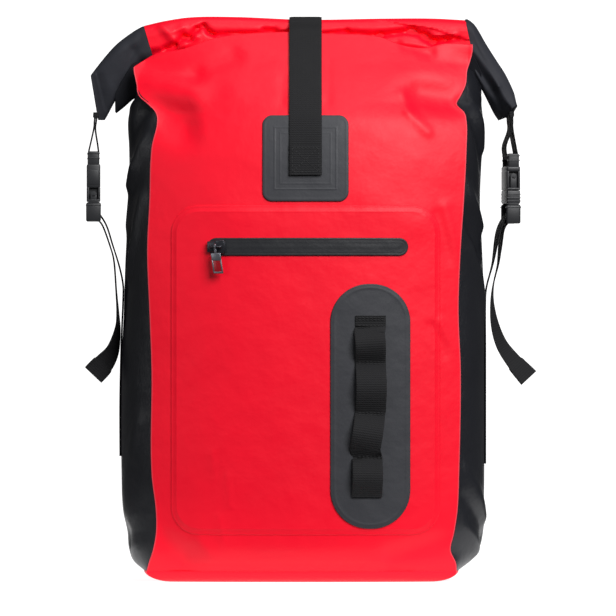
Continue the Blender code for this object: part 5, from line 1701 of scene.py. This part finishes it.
def make_shoulder_strap(side):
    """A padded strap with pinched edges: a bound rim on both sides of a crowned middle."""
    path, width, thickness = pad_path(side, 110)
    wide, thick = outline(48, 0.55, 0.75)
    rim = 0.35 * np.exp(-((np.abs(wide) - 0.46) / 0.03) ** 2)
    rim = rim - 0.25 * np.exp(-((np.abs(wide) - 0.40) / 0.02) ** 2)
    rings = swept(path, np.array([1.0, 0, 0]), width, thickness, wide, thick * (1 + rim))
    piece = tube("shoulder_strap_" + side.name, rings, FOAM, angle=60)
    dress(piece, "strap_foam", "shoulder_strap_" + side.name)


def ladder_place(side):
    """Middle of the ladder adjuster, under the end of the pad."""
    end = pad_path(side, 15)[0][-1]
    return np.array([end[0], end[1], end[2] - 2 * GAP - LADDER_HEIGHT / 2])


def make_ladder(side):
    place = ladder_place(side)
    rail = (LADDER_WIDTH - WEB_SHOULDER - 3 * GAP) / 2
    bits = [Bit((LADDER_WIDTH, LADDER_THICKNESS, LADDER_THICKNESS),
                place + np.array([0, 0, rise * (LADDER_HEIGHT - LADDER_THICKNESS) / 2]), 1.2 * MM)
            for rise in (-1, 0, 1)]
    bits += [Bit((rail, LADDER_THICKNESS, LADDER_HEIGHT),
                 place + np.array([sign * (LADDER_WIDTH - rail) / 2, 0, 0]), 1.2 * MM) for sign in (-1, 1)]
    name = "shoulder_buckle_" + side.name
    dress(rounded_blocks(name, bits, NYLON), "buckle_plastic", name)


def make_shoulder_web(side):
    """From the lower patch up to the ladder's bottom bar, round it and down to a free end."""
    place = ladder_place(side)
    radius = (LADDER_THICKNESS / 2 + GAP + WEB / 2) * 2**0.25
    low = place - np.array([0, 0, LADDER_HEIGHT / 2 - LADDER_THICKNESS / 2])
    arch = [low + np.array([0, radius * math.cos(a), radius * math.sin(a)])
            for a in np.linspace(math.pi, 0, 15)]
    foot_z = LOWER_PATCH_Z - LOWER_PATCH_HALF * 0.4
    foot = on_face(np.array([side.sign * LOWER_PATCH_X] * 2), np.array([foot_z, LOWER_PATCH_Z]),
                   np.full(2, 2 * GAP + PATCH + WEB / 2), BACK)
    rise = arch[0] - foot[1]
    climb = [foot[0], foot[1], foot[1] + rise * np.array([0.3, 0.12, 0.33]),
             foot[1] + rise * np.array([0.7, 0.5, 0.68]), arch[0] - np.array([0, 0, 3 * MM])]
    fall = [arch[-1] + np.array([side.sign * out, depth, -drop]) * MM
            for out, depth, drop in ((0, 0.5, 4), (1, 4, 25), (3, 6, 50), (4, 6, 75))]
    path = np.concatenate([through(np.array(climb), 40), np.array(arch), through(np.array(fall), 30)])
    level = sideways(np.array([side.sign * LOWER_PATCH_X]), np.array([LOWER_PATCH_Z]), BACK)
    eased = 1 - smoothstep(np.arange(len(path)) / 32 - 0.4)[:, None]
    across = level * eased + np.array([1.0, 0, 0]) * (1 - eased)
    piece = band("shoulder_web_" + side.name, path, across, WEB_SHOULDER, WEB, WEBBING)
    dress(piece, "webbing", "shoulder_web_" + side.name)


back_patch("back_patch", 0.0, BACK_PATCH_Z, BACK_PATCH_HALF_WIDTH, BACK_PATCH_HALF_HEIGHT)
for each in SIDES:
    back_patch("lower_patch_" + each.name, each.sign * LOWER_PATCH_X, LOWER_PATCH_Z,
               LOWER_PATCH_HALF, LOWER_PATCH_HALF)
make_haul_loop()
for each in SIDES:
    make_shoulder_strap(each)
    make_ladder(each)
    make_shoulder_web(each)
